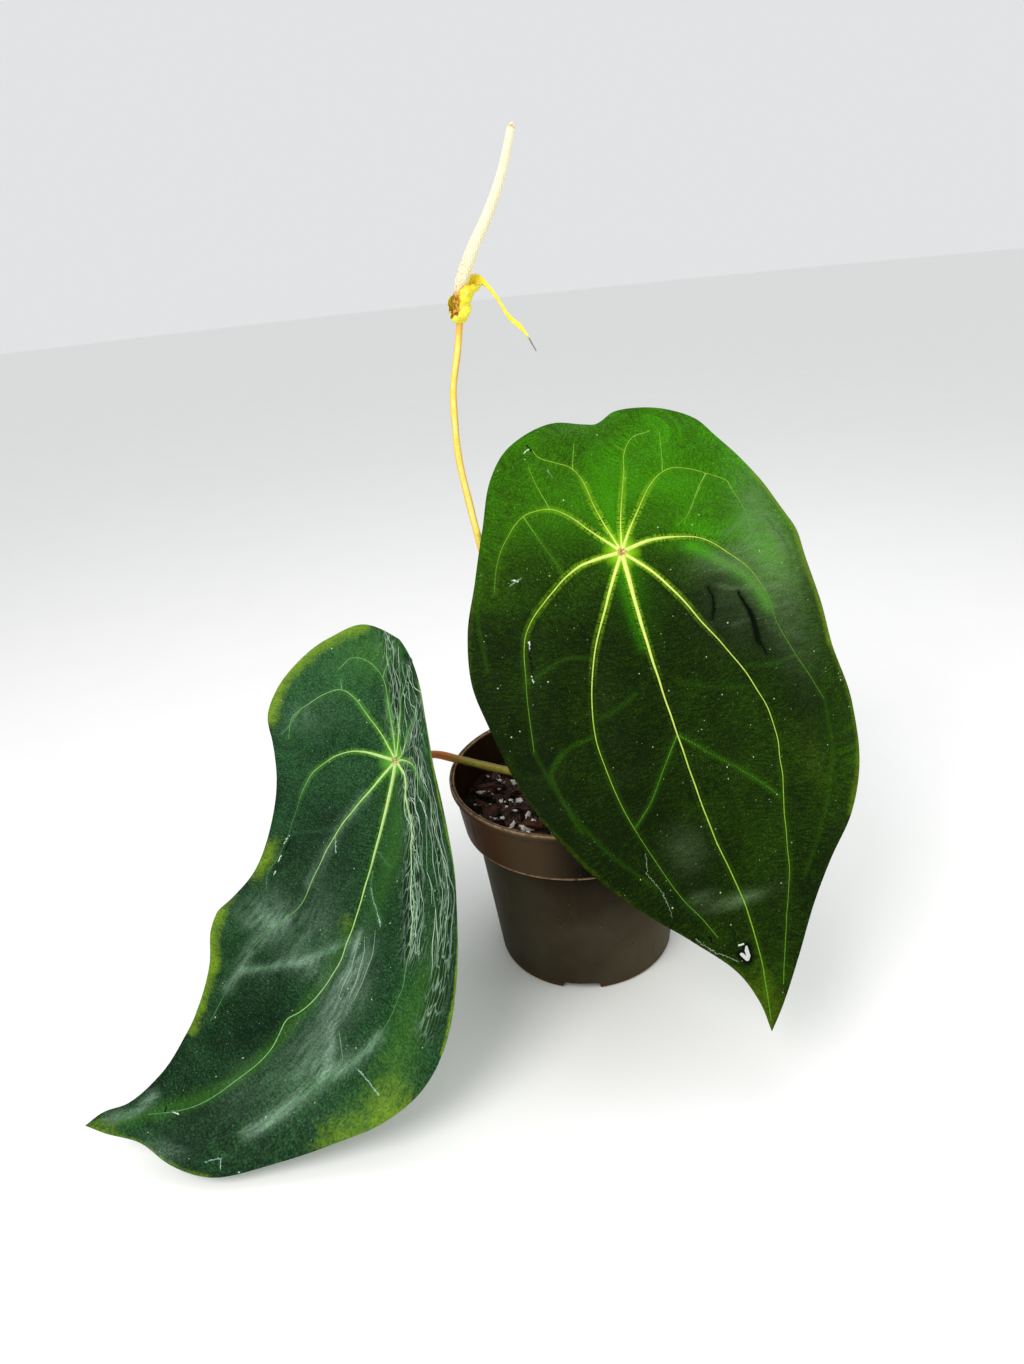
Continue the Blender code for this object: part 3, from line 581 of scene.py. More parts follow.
def notchCutter(shape, k):  # a block with rounded corners, narrower at the top
    bm = bmesh.new()
    made = bmesh.ops.create_cube(bm, size=1.0)["verts"]
    size = (shape["cutLength"], shape["notchWidth"], 2 * shape["notchHeight"])
    bmesh.ops.scale(bm, vec=size, verts=made)
    for vert in made:
        if vert.co.z > 0:
            vert.co.y -= math.copysign(shape["notchLean"], vert.co.y)
    corners = [edge for edge in bm.edges
               if abs(edge.verts[0].co.x - edge.verts[1].co.x) > shape["cutLength"] / 2]
    bmesh.ops.bevel(bm, geom=corners, offset=shape["notchRound"], offset_type="OFFSET",
                    affect="EDGES", segments=3, profile=0.5, material=-1)
    bmesh.ops.translate(bm, vec=(shape["bodyFoot"], 0, 0), verts=bm.verts)
    turn = turnedBy(shape["notchTurn"] + 360 * k / shape["notchCount"])
    bmesh.ops.rotate(bm, cent=(0, 0, 0), matrix=turn, verts=bm.verts)
    return bm


def drainCutter(shape, k):
    angle = 2 * math.pi * (k + 0.5) / shape["drainCount"]
    spot = Vector((math.cos(angle), math.sin(angle), 0)) * shape["drainCircle"]
    bm = bmesh.new()
    bmesh.ops.create_cone(bm, cap_ends=True, segments=32, radius1=shape["drainRadius"],
                          radius2=shape["drainRadius"], depth=shape["cutLength"],
                          matrix=Matrix.Translation(spot))
    return bm


def paintPot(mesh, points, shape):  # the pale edges, painted highlight with wear, and the painted shade inside
    top, rim, foot = shape["height"], shape["rim"], shape["bodyFoot"] - shape["footInset"]
    radius, height = np.hypot(points[:, 0], points[:, 1]), points[:, 2]
    lipHighlightAndWear = np.maximum(
        bell(radius - rim + 0.45, 0.4) * (height > top - shape["lipHeight"] + 1.5),
        bell(radius - rim + 2.0, 0.35) * (height > top - 1.0))
    collarHighlightAndWear = bell(height - shape["collarLevel"] - 0.4, 0.45) * (radius > shape["collarFoot"] - 1.0)
    footHighlightAndWear = 0.5 * bell(height, 0.8) * (radius > foot - 0.5)
    paint(mesh, "edge", np.maximum.reduce([lipHighlightAndWear, 0.75 * collarHighlightAndWear, footHighlightAndWear]))
    # painted shade: the inside wall and the lip's groove darkened
    inside = (radius < np.array([wallInside(shape, h) + 0.4 for h in height])) & (height > 4)
    groove = bell(radius - rim + 1.25, 0.3) * (height > top - 0.6)
    paint(mesh, "insideShade", np.maximum(0.75 * inside, 0.7 * groove))


def buildPot(shape, look):
    mesh = meshOf(turned(potProfile(shape), shape["steps"]), "pot")
    mat = potMaterial(look, shape["collarLevel"])
    pot = addPiece("pot_shell", mesh, mat, ["pot"])
    cutAll(pot, [notchCutter(shape, k) for k in range(shape["notchCount"])]
           + [drainCutter(shape, k) for k in range(shape["drainCount"])])
    points = readPoints(mesh)
    writePoints(mesh, points * mm)
    paintPot(mesh, points, shape)
    mesh.set_sharp_from_angle(angle=math.radians(shape["sharpFrom"]))


buildPot(potShape, potLook)
print("pot turned and cut")


# Potting mix

mixShape = {
    "level": 82.0, "roughness": 0.9, "steps": 128, "rings": 46, "crumbs": 900, "bark": 240,
    "perlite": 230, "stem": (3.0, 6.0), "stemRoom": 9.0, "edgeRoom": 3.0,
}
barkLook = {"dark": (0.006, 0.003, 0.002), "red": (0.042, 0.012, 0.005), "fibre": (0.11, 0.048, 0.026)}
compostLook = {"dark": (0.0025, 0.0018, 0.0014), "pale": (0.013, 0.008, 0.005),
               "fibre": (0.075, 0.042, 0.025)}
perliteLook = {"white": (0.88, 0.86, 0.82), "cream": (0.52, 0.46, 0.40), "dirt": (0.10, 0.07, 0.05)}


def mixHeight(x, y, shape):
    return (shape["level"] + shape["roughness"] * (math.sin(x * 0.21 + 1.0) * math.cos(y * 0.17)
                                                   + 0.6 * math.sin(x * 0.47 + y * 0.39)))


def barkMaterial(look):
    skin = Skin("bark", 0.7, 0.15)
    grain = skin.cloud(1.6, 5.0, 0.65, skin.stretched(skin.place, 1.0, 1.0, 2.4))
    skin.start(skin.ranged(skin.cloud(9.0, 2.0), 0.4, 0.62), look["dark"], look["red"])
    skin.lay(look["fibre"], skin.ranged(grain, 0.50, 0.70))
    return skin.done(grain, 0.4, 0.8, skin.ranged(grain, 0.3, 0.7, 0.5, 0.85))


def compostMaterial(look):
    skin = Skin("compost", 0.85, 0.1)
    grain = skin.cloud(1.1, 6.0, 0.7)
    skin.start(skin.ranged(grain, 0.42, 0.68), look["dark"], look["pale"])
    fibre = skin.placed(netLines, Spacing=2.2, Width=0.06, Warp=0.9)
    skin.lay(look["fibre"], fibre, 0.45)
    return skin.done(skin.plus(grain, skin.times(fibre, 0.4)), 0.6, 0.9)


def perliteMaterial(look):
    skin = Skin("perlite", 0.8)
    skin.start(skin.ranged(skin.cloud(3.0), 0.38, 0.66), look["white"], look["cream"])
    skin.lay(look["dirt"], skin.ranged(skin.cloud(0.8), 0.5, 0.7), 0.5)
    return skin.done(skin.placed(netLines, Spacing=0.55, Width=0.3, Warp=0.4), 0.25, 0.8)


def mixSpot(shape, reach, room):  # a random place on the mix, clear of the wall and the stem
    while True:
        far, angle = (reach - room) * math.sqrt(random.random()), random.uniform(0, 2 * math.pi)
        x, y = far * math.cos(angle), far * math.sin(angle)
        if math.hypot(x - shape["stem"][0], y - shape["stem"][1]) > shape["stemRoom"] + room:
            return x, y


def layDown(bm, verts, size, place, tilt):  # sizes a shape, turns it at random and puts it down
    turn = turnedBy(random.uniform(0, 360))
    for axis in ("X", "Y"):
        turn = turn @ turnedBy(random.uniform(-tilt, tilt), axis)
    bmesh.ops.scale(bm, vec=size, verts=verts)
    bmesh.ops.rotate(bm, cent=(0, 0, 0), matrix=turn, verts=verts)
    bmesh.ops.translate(bm, vec=place, verts=verts)


def buildBed(shape, pot, brim):
    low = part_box("potting_mix")[0].z / mm
    ledge = pot["collarLevel"] + pot["wall"] + 0.3
    profile = [(0, low), (wallInside(pot, pot["floorTop"]) - 0.4, low),
               (pot["bodyTop"] - pot["wall"] - 0.4, ledge), (wallInside(pot, ledge) - 0.5, ledge),
               (brim, shape["level"] - 0.8)]
    profile += [(brim * s, shape["level"]) for s in np.linspace(0.985, 0.0, shape["rings"])]
    bm = turned(profile, shape["steps"])
    for vert in bm.verts:
        if vert.co.z > shape["level"] - 1:
            x, y = vert.co.x, vert.co.y
            rough = noise.fractal(Vector((x, y, 0)) * 0.23, 0.7, 2.1, 5) * 1.5
            rough += 0.8 * noise.noise(Vector((x, y, 5)) * 0.8)
            vert.co.z = mixHeight(x, y, shape) + rough
    return bm


def onMix(shape, x, y, lift):
    return x, y, mixHeight(x, y, shape) + lift


def strewCrumbs(shape, reach, bed):
    for k in range(shape["crumbs"]):
        x, y = mixSpot(shape, reach, 0.5)
        size = random.uniform(0.35, 1.3)
        made = bmesh.ops.create_icosphere(bed, subdivisions=1, radius=1.0)["verts"]
        for vert in made:
            vert.co *= random.uniform(0.7, 1.15)
        layDown(bed, made, (size * random.uniform(0.7, 1.7), size, size * 0.7),
                onMix(shape, x, y, size * 0.6), 30)
    return bed


def strewBark(shape, reach):  # jagged slabs
    bark = bmesh.new()
    for k in range(shape["bark"]):
        long = random.uniform(3.5, 13.5)
        x, y = mixSpot(shape, reach, long * 0.4)
        chip = bmesh.new()
        bmesh.ops.create_cube(chip, size=1.0)
        bmesh.ops.subdivide_edges(chip, edges=chip.edges[:], cuts=2, use_grid_fill=True)
        shear = random.uniform(-0.35, 0.35)
        for vert in chip.verts:
            jag = noise.noise(vert.co * 2.3 + Vector((k, 0, 0))) * 0.28
            vert.co.x += shear * vert.co.y + jag
            vert.co.y *= 1 - 0.5 * abs(vert.co.x) + jag
            vert.co.z += noise.noise(vert.co * 1.7 + Vector((0, k, 0))) * 0.5
        size = (long, long * random.uniform(0.3, 0.6), random.uniform(0.9, 2.2))
        layDown(chip, chip.verts, size, onMix(shape, x, y, size[2] * random.uniform(0.2, 0.8)), 20)
        bmesh.ops.recalc_face_normals(chip, faces=chip.faces)
        pour(bark, chip)
    return bark


def strewPerlite(shape, reach):  # lumps, with a large one now and then
    grains = bmesh.new()
    for k in range(shape["perlite"]):
        x, y = mixSpot(shape, reach, 1.0)
        size = random.uniform(0.5, 1.4) * (1.5 if k % 23 == 0 else 1.0)
        made = bmesh.ops.create_icosphere(grains, subdivisions=2, radius=1.0)["verts"]
        for vert in made:
            vert.co *= 1 + 0.75 * noise.noise(vert.co * 1.5 + Vector((k * 3, 0, 0)))
        layDown(grains, made, (size * random.uniform(1, 2.2), size, size * 0.75),
                onMix(shape, x, y, size * 0.7), 50)
    return grains


def buildMix(shape, pot):
    brim = wallInside(pot, shape["level"]) - 0.6
    reach = brim - shape["edgeRoom"]
    bed = strewCrumbs(shape, reach, buildBed(shape, pot, brim))
    addSolid("mix_bed", bed, compostMaterial(compostLook), ["potting_mix"], smooth=False)
    addSolid("bark_chips", strewBark(shape, reach), barkMaterial(barkLook), smooth=False)
    addSolid("perlite_grains", strewPerlite(shape, reach), perliteMaterial(perliteLook))


buildMix(mixShape, potShape)
print("potting mix strewn")


# Leaf blades

# A flat pattern (u across, v down the midrib, hub at 0, 0) is bent in space.
# centre: v, then the midrib's place. tilt: v, then rise in degrees and curl in mm, left and right.
# facing: the way that the blade looks. wave: height and length of the margins' wave in mm, phase.
# corners: the places in the outline where the flat grid's corners lie.
# veins: width in mm at the hub and at the end, share of the length that stays pale, points.
# fine: strength, points. folds, tone and paint: strength, then a width in mm and a line of points,
# or the two sizes and the place of a spot. holes: radius, then the two ends of a slot.
bladeForm = {
    "sheet": 0.7, "thin": 0.32, "thinEdge": 5.0, "foldSoftness": 4.0, "curlWidth": 80.0,
    "quilt": 0.9, "quiltWidth": 8.0, "groove": 0.35, "columns": 190, "rows": 240, "topPale": 0.42,
    "faintFrom": 0.35, "veinSunk": 0.45, "faintSunk": 0.72,
}

rightLines = {  # lines that several entries of the right blade follow
    "bay": [(45, 29), (46, 34), (47, 38), (47, 45), (46, 52), (48, 59)],
    "inlet": [(32, 24), (33, 30), (31, 35), (30, 38)],
    "upperStep": [(37, 25), (44, 28), (51, 28)], "lowerStep": [(37, 43), (42, 42), (46, 42)],
}
rightBlade = {
    "centre": [(-66, 23, 42, 250), (0, 27, -4, 204), (51, 35, -35, 164), (115, 47, -70, 112),
               (204, 63, -111, 34)],
    "tilt": [(-70, -4, -6, -10, -8), (0, -2, -4, -8, -6), (60, 0, -3, -8, -5),
             (120, 0, -2, -8, -4), (205, 0, 0, -4, 0)],
    "facing": (0.0, -0.85, 0.53), "wave": (1.5, 62.0, 0.5),
    "outline": [
        (0, 204), (-1, 193), (-6, 179), (-20, 162), (-38, 143), (-55, 119), (-67, 90), (-74, 56),
        (-76, 37), (-72, 16), (-64, -2), (-57, -23), (-50, -48), (-41, -62), (-29, -69), (-17, -71),
        (-4, -67), (1, -66), (11, -72), (24, -74), (37, -73), (50, -68), (58, -58), (67, -46),
        (77, -29), (82, -7), (81, 17), (82, 41), (78, 65), (78, 90), (74, 109), (60, 132), (45, 147),
        (32, 162), (19, 180), (7, 196), (0, 204)],
    "corners": {"bottomLeft": 5, "topLeft": 12, "topRight": 23, "bottomRight": 30},
    "veins": [
        (1.35, 0.5, 1.0, [(0, 0), (-1, 40), (-1, 81), (0, 122), (4, 151), (4, 177), (1, 200)]),
        (1.1, 0.35, 0.72, [(0, 0), (-12, 20), (-24, 41), (-33, 71), (-33, 88), (-31, 106),
                           (-25, 128), (-19, 145), (-14, 154), (-10, 163)]),
        (1.1, 0.35, 0.85, [(0, 0), (13, 15), (24, 37), (34, 58), (40, 86), (37, 106), (31, 126),
                           (26, 147), (18, 167), (10, 188)]),
        (1.3, 0.3, 0.75, [(0, 0), (-19, 2), (-33, 10), (-48, 23), (-54, 43), (-59, 71)]),
        (1.3, 0.3, 0.62, [(0, 0), (18, -4), (35, -1), (48, 11), (56, 28), (58, 48), (62, 69),
                          (66, 84)]),
        (1.1, 0.3, 0.5, [(0, 0), (-12, -14), (-26, -27), (-38, -26), (-47, -17), (-53, -7),
                         (-57, 4)]),
        (0.9, 0.3, 0.6, [(0, 0), (-6, -20), (-13, -45), (-20, -50), (-27, -55), (-29, -59)]),
        (0.9, 0.3, 0.6, [(0, 0), (3, -15), (9, -38), (12, -51), (17, -58), (26, -61)]),
        (1.1, 0.3, 0.55, [(0, 0), (9, -15), (26, -38), (35, -41), (48, -38), (57, -33)]),
    ],
    "fine": [
        (0.7, [(-1, 81), (11, 94), (23, 106), (32, 117)]),
        (0.5, [(-1, 81), (-12, 94), (-20, 104), (-29, 112)]),
        (0.35, [(-33, 72), (-46, 74), (-55, 81), (-54, 92), (-50, 108)]), (0.6, [(-13, -45), (-10, -58)]),
        (0.6, [(12, -51), (7, -54)]), (0.5, [(27, -39), (30, -60)]),
        (0.8, [(48, -38), (41, -28), (34, -15), (27, -9)]), (0.5, [(57, -33), (61, -14), (60, -2)]),
        (0.7, [(-38, -26), (-32, -10), (-26, 4)]), (0.5, [(-26, -27), (-30, -40), (-32, -50)]),
        (0.4, [(43, -30), (36, -19), (30, -9)]), (0.3, [(-24, 41), (-36, 38), (-48, 42), (-54, 43)]),
        (0.3, [(37, 61), (43, 63), (50, 64), (59, 62)]),
        (0.25, [(-59, 71), (-54, 92), (-44, 116), (-28, 138)]),
        (0.25, [(66, 84), (62, 104), (50, 126), (32, 150)]),
        (0.3, [(76, -16), (76, 6), (74, 20), (72, 46)]),
        (0.3, [(-12, 60), (-20, 64), (-31, 66)]), (0.25, [(6, 60), (18, 66), (34, 70)]),
        (0.3, [(-60, -6), (-66, 10), (-68, 34)]),
    ],
    "folds": [
        (-1.5, 1.5, rightLines["bay"]), (-1.1, 1.3, rightLines["inlet"]),
        (1.2, 3.6, [(39, 28), (38, 36), (37, 45)]), (0.9, 2.6, [(51, 30), (53, 42), (51, 56)]),
        (0.9, 5.0, [(30, 3), (37, 10), (45, 17), (52, 25), (56, 35)]),
        (0.4, 1.0, rightLines["upperStep"]), (0.4, 1.0, rightLines["lowerStep"]),
        (0.5, 3.0, [(-14, 144), (0, 152), (19, 159)]), (-0.6, 5.0, [(0, -60), (-3, -72)]),
    ],
    "waves": [(0.35, 31.0, 20, 0.4), (0.22, 17.0, 75, 1.9), (0.14, 9.0, -35, 0.2)],
    "holes": [(0.5, (-0.2, 169.4), (-0.9, 174.2)), (0.6, (-3.0, 171.6), (-1.2, 174.3))],
    "tone": [(0.30, (24, 17), (44, -4)), (0.42, (12, 17), (61, 16)), (-0.12, (12, 18), (36, 36)),
             (0.12, (26, 18), (26, -46)), (0.07, (18, 32), (52, 106)), (0.05, (16, 20), (12, -4)),
             (0.12, (11, 22), (69, 22)), (0.06, (9, 18), (57, -30)), (0.08, (20, 50), (20, 110))],
    "paint": {
        "paintedSheen": [(0.9, (15, 7), (44, 13)), (0.5, (9, 30), (66, -14)), (1.0, (11, 2.2), (2, 151)),
                   (0.5, (5, 2.5), (-12, 146)), (0.35, (7, 8), (-12, 126)), (0.3, (12, 20), (62, 52)),
                   (0.3, (12, 5), (-6, -68)), (0.35, (16, 16), (44, 34)), (0.6, (9, 14), (57, 17)),
                   (1.1, (12, 26), (66, 14)), (0.35, (8, 18), (70, -24)),
                   (0.7, 1.2, rightLines["upperStep"]), (0.6, 1.0, rightLines["lowerStep"]),
                   (0.5, 1.5, [(66, -20), (57, -8), (47, -1)])],
        "crinkle": [(0.45, (12, 22), (48, 20)), (0.3, (10, 20), (66, -18))],
        "yellow": [(1.15, 2.5, [(72, -38), (77, -29), (82, -7), (81, 17), (82, 41), (79, 60)]),
                   (0.6, 2.2, [(79, 60), (78, 65), (78, 90), (74, 109), (60, 132)]),
                   (0.35, 3.2, [(40, 13), (47, 19), (52, 26), (55, 34)]),
                   (0.3, 1.6, [(-64, -2), (-76, 37), (-67, 90), (-38, 143), (-6, 179), (0, 204)]),
                   (0.45, (8, 22), (2, 192)), (0.28, (13, 26), (52, 108)),
                   (0.35, (11, 20), (66, 14))],
        "creaseShadeAndScar": [(0.8, 1.1, rightLines["bay"][:-1]), (0.6, 1.0, rightLines["inlet"]),
                   (0.45, (4.5, 11), (47, 47)),
                   (0.25, 0.8, [(69, -10), (72, 2), (74, 17), (73, 24)]),
                   (0.3, (9, 9), (39, 40))],
        "brightAndSheen": [(0.5, (7, 26), (-1, -5)), (0.3, (20, 14), (6, -34)), (0.2, (26, 14), (-20, -22)),
                   (0.3, 2.5, [(0, 0), (-3, 20), (-3, 42)]), (0.3, (18, 10), (36, -30)),
                   (0.25, (14, 9), (34, -2)), (0.35, (6, 8), (57, -7)),
                   (0.65, 3.2, [(30, 4), (35, 8), (41, 13), (47, 19), (52, 26), (54, 32), (55, 38)])],
    },
}
leftLines = {  # lines that several entries of the left blade follow
    "cleft": [(6, 78), (8, 87), (11, 93), (13, 102), (15, 112), (20, 120), (26, 127)],
    "branch": [(2, 83), (-5, 90), (-13, 100), (-22, 109), (-31, 121)],
    "rim": [(-29, 84), (-32, 94), (-34, 107), (-33, 117), (-30, 133), (-27, 144), (-22, 156)],
    "spur": [(21, -22), (29, -15), (34, -8), (40, -1)], "notch": [(36, 5), (39, 12), (38, 20)],
    "dent": [(24, 14), (27, 24), (25, 34)], "nick": [(14, -38), (9, -33), (7, -27)],
    "tuck": [(6, 190), (13, 182), (19, 174)],
}
leftBlade = {
    "centre": [(-58, -77, 30, 161), (0, -83, -5, 115), (50, -97, -35, 78), (104, -121, -71, 45),
               (154, -156, -102, 30), (214, -215, -110, 21)],
    "tilt": [(-66, -10, -4, 66, 10), (0, -14, -4, 66, 10), (50, -20, -2, 50, 9),
             (110, -8, 4, 32, 8), (160, -2, 4, 16, 8), (221, 0, 0, 4, 0)],
    "facing": (0.12, -0.83, 0.54), "wave": (0.0, 62.0, 0.0),
    "outline": [
        (0, 215), (-3, 207), (-4, 197), (-12, 182), (-24, 166), (-34, 147), (-43, 130), (-53, 114),
        (-57, 99), (-56, 84), (-54, 66), (-56, 42), (-58, 15), (-62, -7), (-65, -24), (-60, -38),
        (-48, -51), (-34, -60), (-18, -66), (-1, -59), (14, -47), (26, -33), (37, -14), (46, 2),
        (54, 17), (59, 36), (63, 62), (67, 84), (69, 102), (66, 116), (59, 127), (47, 140), (37, 155),
        (31, 171), (22, 184), (12, 194), (5, 208), (0, 215)],
    "corners": {"bottomLeft": 7, "topLeft": 15, "topRight": 21, "bottomRight": 29},
    "veins": [
        (1.25, 0.5, 0.95, [(0, 0), (-1, 45), (1, 80), (2, 95), (1, 110), (-1, 118), (-3, 123), (-1, 130),
                           (1, 136), (2, 154), (4, 172), (2, 190)]),
        (1.0, 0.3, 0.66, [(0, 0), (-12, 18), (-21, 36), (-26, 64), (-26, 75), (-29, 84), (-32, 94),
                          (-34, 107), (-33, 117), (-30, 133), (-24, 150)]),
        (1.2, 0.3, 0.62, [(0, 0), (9, 6), (16, 16), (21, 25), (26, 41), (32, 58), (37, 76), (39, 95),
                          (38, 109), (34, 119), (26, 130), (24, 145), (20, 160)]),
        (1.2, 0.3, 0.7, [(0, 0), (-23, -3), (-39, 9), (-45, 31), (-46, 55)]),
        (0.9, 0.3, 0.35, [(0, 0), (8, 0), (20, 3), (30, 9), (37, 15), (43, 22), (50, 38), (54, 57),
                          (57, 76)]),
        (0.9, 0.3, 0.5, [(0, 0), (-13, -19), (-28, -35), (-44, -29), (-53, -21), (-54, -9)]),
        (0.7, 0.25, 0.5, [(0, 0), (-5, -26), (-8, -40), (-15, -48), (-23, -50), (-30, -45)]),
        (0.8, 0.3, 0.8, [(0, 0), (1, -20), (4, -31), (7, -36), (10, -40), (14, -45)]),
        (0.8, 0.3, 0.8, [(0, 0), (7, -3), (11, -8), (15, -14), (21, -22)]),
    ],
    "fine": [
        (0.8, leftLines["branch"]), (0.7, [(1, 52), (4, 60), (11, 66), (17, 72)]),
        (0.8, [(-28, -35), (-28, -40)]),
        (0.5, [(38, 109), (33, 122), (28, 131)]), (0.7, [(-8, -40), (-4, -50)]),
        (0.4, [(-49, -25), (-58, -12)]), (0.8, leftLines["spur"]),
        (0.7, [(-1, 42), (8, 46), (14, 48)]), (0.6, [(27, 127), (25, 135), (24, 145), (24, 151)]),
        (0.4, [(-46, 55), (-47, 66), (-44, 74)]), (0.3, [(-21, 36), (-32, 40), (-44, 44)]),
    ],
    "folds": [
        (1.5, 3.6, leftLines["rim"]), (-1.0, 4.0, [(-22, 84), (-24, 98), (-25, 112), (-22, 130)]),
        (0.9, 3.0, leftLines["branch"]), (0.9, 3.0, leftLines["cleft"]),
        (0.8, 3.0, [(39, 95), (38, 109), (34, 119), (26, 130), (24, 145)]),
        (-0.8, 4.0, [(31, 88), (30, 100), (27, 112)]),
        (0.6, 1.2, [(-8, -62), (-5, -51), (-3, -38), (-1, -24)]),
        (0.5, 1.1, leftLines["spur"]),
        (0.6, 1.2, [(27, 15), (30, 21), (28, 28), (32, 33), (31, 40), (35, 43), (42, 47)]),
        (-0.9, 1.4, leftLines["notch"]), (-0.8, 1.3, leftLines["dent"]),
        (-0.8, 1.4, leftLines["nick"]), (-1.4, 3.0, leftLines["tuck"]),
        (1.3, 3.0, [(0, 205), (0, 194), (-4, 187)]),
        (1.0, 2.4, [(37, 149), (39, 145), (44, 138)]), (1.8, (8, 13), (-48, 95)),
        (-0.8, (7, 10), (-40, 76)),
    ],
    "waves": [(0.45, 27.0, 60, 0.8), (0.25, 13.0, 110, 2.0), (0.15, 7.0, 20, 0.5)],
    "holes": [],
    "tone": [(-0.22, (24, 38), (-30, 55)), (-0.28, (17, 24), (-14, 132)), (-0.16, (20, 18), (-22, 178)),
             (-0.04, (14, 50), (52, 96)), (-0.20, (20, 20), (6, 162)), (-0.13, (18, 42), (27, 74)),
             (-0.16, (14, 14), (4, -36)), (-0.10, (12, 12), (10, 178))],
    "paint": {
        "paintedSheen": [(0.9, 1.8, leftLines["cleft"]), (0.7, (8, 16), (11, 100)),
                   (0.55, (10, 12), (18, 128)),
                   (0.8, 2.6, [(38, 109), (34, 119), (26, 130), (24, 145), (22, 156)]),
                   (0.55, 2.6, leftLines["rim"][:5]), (0.5, 2.4, leftLines["branch"]),
                   (0.85, (10, 11), (-38, 88)), (0.4, (9, 5), (-11, 100)), (0.15, (10, 12), (8, 150)),
                   (0.25, (12, 8), (-46, -22)), (0.5, 2.2, [(0, 205), (-1, 192), (-5, 186)]),
                   (0.4, (5, 9), (17, 186)), (0.35, 3.0, [(-12, 18), (-21, 36), (-26, 64)]),
                   (0.3, (10, 16), (-16, 84)), (0.35, (8, 12), (14, 96))],
        "crinkle": [(1.0, 6.0, [(12, 6), (22, 22), (28, 40), (34, 60), (40, 76)]),
                    (1.0, (11, 16), (24, -9)), (0.7, 4.0, [(-6, -62), (-3, -40), (-1, -14)]),
                    (0.8, 4.5, [(36, 8), (46, 26), (53, 48), (57, 74), (58, 96)]),
                    (0.35, (9, 20), (12, 104)), (0.6, (6, 8), (12, -42))],
        "yellow": [(1.0, 5.0, [(-64, -22), (-60, -38), (-48, -51), (-34, -60), (-18, -66)]),
                   (0.9, (5, 12), (-52, 60)), (1.0, 4.5, [(-57, 99), (-53, 114), (-43, 130)]),
                   (0.8, 4.0, [(-43, 130), (-34, 147), (-26, 162)]),
                   (0.45, 3.0, [(-57, 99), (-56, 84)]), (0.75, (11, 10), (60, 127)),
                   (0.6, (12, 6), (50, 139)), (0.22, (14, 26), (50, 112)),
                   (0.9, 1.0, [(26, -33), (46, 2), (59, 36), (67, 84), (69, 102)]),
                   (0.6, (4, 9), (2, 210)), (0.4, (5, 6), (-3, 76)),
                   (0.5, 1.5, [(31, 171), (22, 184), (12, 194), (5, 208)])],
        "creaseShadeAndScar": [(0.9, 1.0, leftLines["notch"]), (0.8, 1.0, leftLines["dent"]),
                   (0.8, 1.1, leftLines["nick"]), (0.5, 1.6, [(24, -28), (17, -40), (7, -50)]),
                   (0.4, 1.6, leftLines["tuck"])],
        "brightAndSheen": [(0.4, (6, 20), (0, -2)), (0.3, 3.0, [(0, 80), (0, 118), (1, 150), (2, 200)]),
                   (0.35, (14, 12), (-10, -52)), (0.3, (10, 30), (50, 100)),
                   (0.35, 1.6, [(0, 0), (-1, 45), (1, 80)]), (0.3, (8, 30), (12, 40))],
    },
}


def spread(blade, across, down):  # spreads a square grid over the blade's outline
    rows = withReach(blade["outline"])
    at = {label: rows[i, 0] for label, i in blade["corners"].items()}

    def side(start, end, shares):
        return smoothRows(rows, between(start, end, shares))

    bottom = np.where(across[:, None] < 0.5, side(at["bottomLeft"], 0.0, across * 2),
                      side(rows[-1, 0], at["bottomRight"], across * 2 - 1))
    top = side(at["topLeft"], at["topRight"], across)
    left = side(at["topLeft"], at["bottomLeft"], down)
    right = side(at["topRight"], at["bottomRight"], down)
    s, t = across[:, None], down[:, None]
    corners = [smoothRows(rows, at[label]) for label in ("topLeft", "topRight", "bottomLeft",
                                                         "bottomRight")]
    return ((1 - t) * top + t * bottom + (1 - s) * left + s * right
            - (1 - t) * ((1 - s) * corners[0] + s * corners[1])
            - t * ((1 - s) * corners[2] + s * corners[3]))


def sheetFrame(blade, v):  # the midrib's place, and the ways across and outward, at v
    first, final = blade["centre"][0][0], blade["centre"][-1][0]
    held = np.clip(v, first, final)
    ahead, behind = [smoothRows(blade["centre"], np.clip(held + step, first, final)) for step in (1, -1)]
    direction = unit(ahead - behind)
    centre = smoothRows(blade["centre"], held) + direction * (v - held)[:, None]
    across = unit(np.cross(np.asarray(blade["facing"]), direction))
    return centre, across, np.cross(direction, across)


def bend(blade, u, v):  # the place in space of the flat points (u, v)
    centre, across, outward = sheetFrame(blade, v)
    tilt = smoothRows(blade["tilt"], v)
    right = u > 0
    angle = np.radians(np.where(right, tilt[:, 2], tilt[:, 0]))
    curl = np.where(right, tilt[:, 3], tilt[:, 1])
    height, length, phase = blade["wave"]
    swell = height * np.sin(2 * np.pi * v / length + np.where(right, phase, phase + 2.0))
    lift = (curl + swell) * (u / bladeForm["curlWidth"]) ** 2
    soft = bladeForm["foldSoftness"]
    rise = np.sqrt(u * u + soft ** 2) - soft
    sideways = np.sign(u) * (np.abs(u) * np.cos(angle) - lift * np.sin(angle))
    forward = rise * np.sin(angle) + lift * np.cos(angle)
    return centre + sideways[:, None] * across + forward[:, None] * outward


def outwardNormal(blade, u, v):
    step = 0.5
    alongU = bend(blade, u + step, v) - bend(blade, u - step, v)
    alongV = bend(blade, u, v + step) - bend(blade, u, v - step)
    return unit(np.cross(alongV, alongU))


def layered(marks, flat):  # adds up soft lines and soft spots
    total = np.zeros(len(flat))
    for strength, size, place in marks:
        if isinstance(size, tuple):
            total += strength * blob(flat[:, 0], flat[:, 1], place, size)
        else:
            total += strength * bell(nearestOn(flat, evenly(place, 4.0))[0], size)
    return total


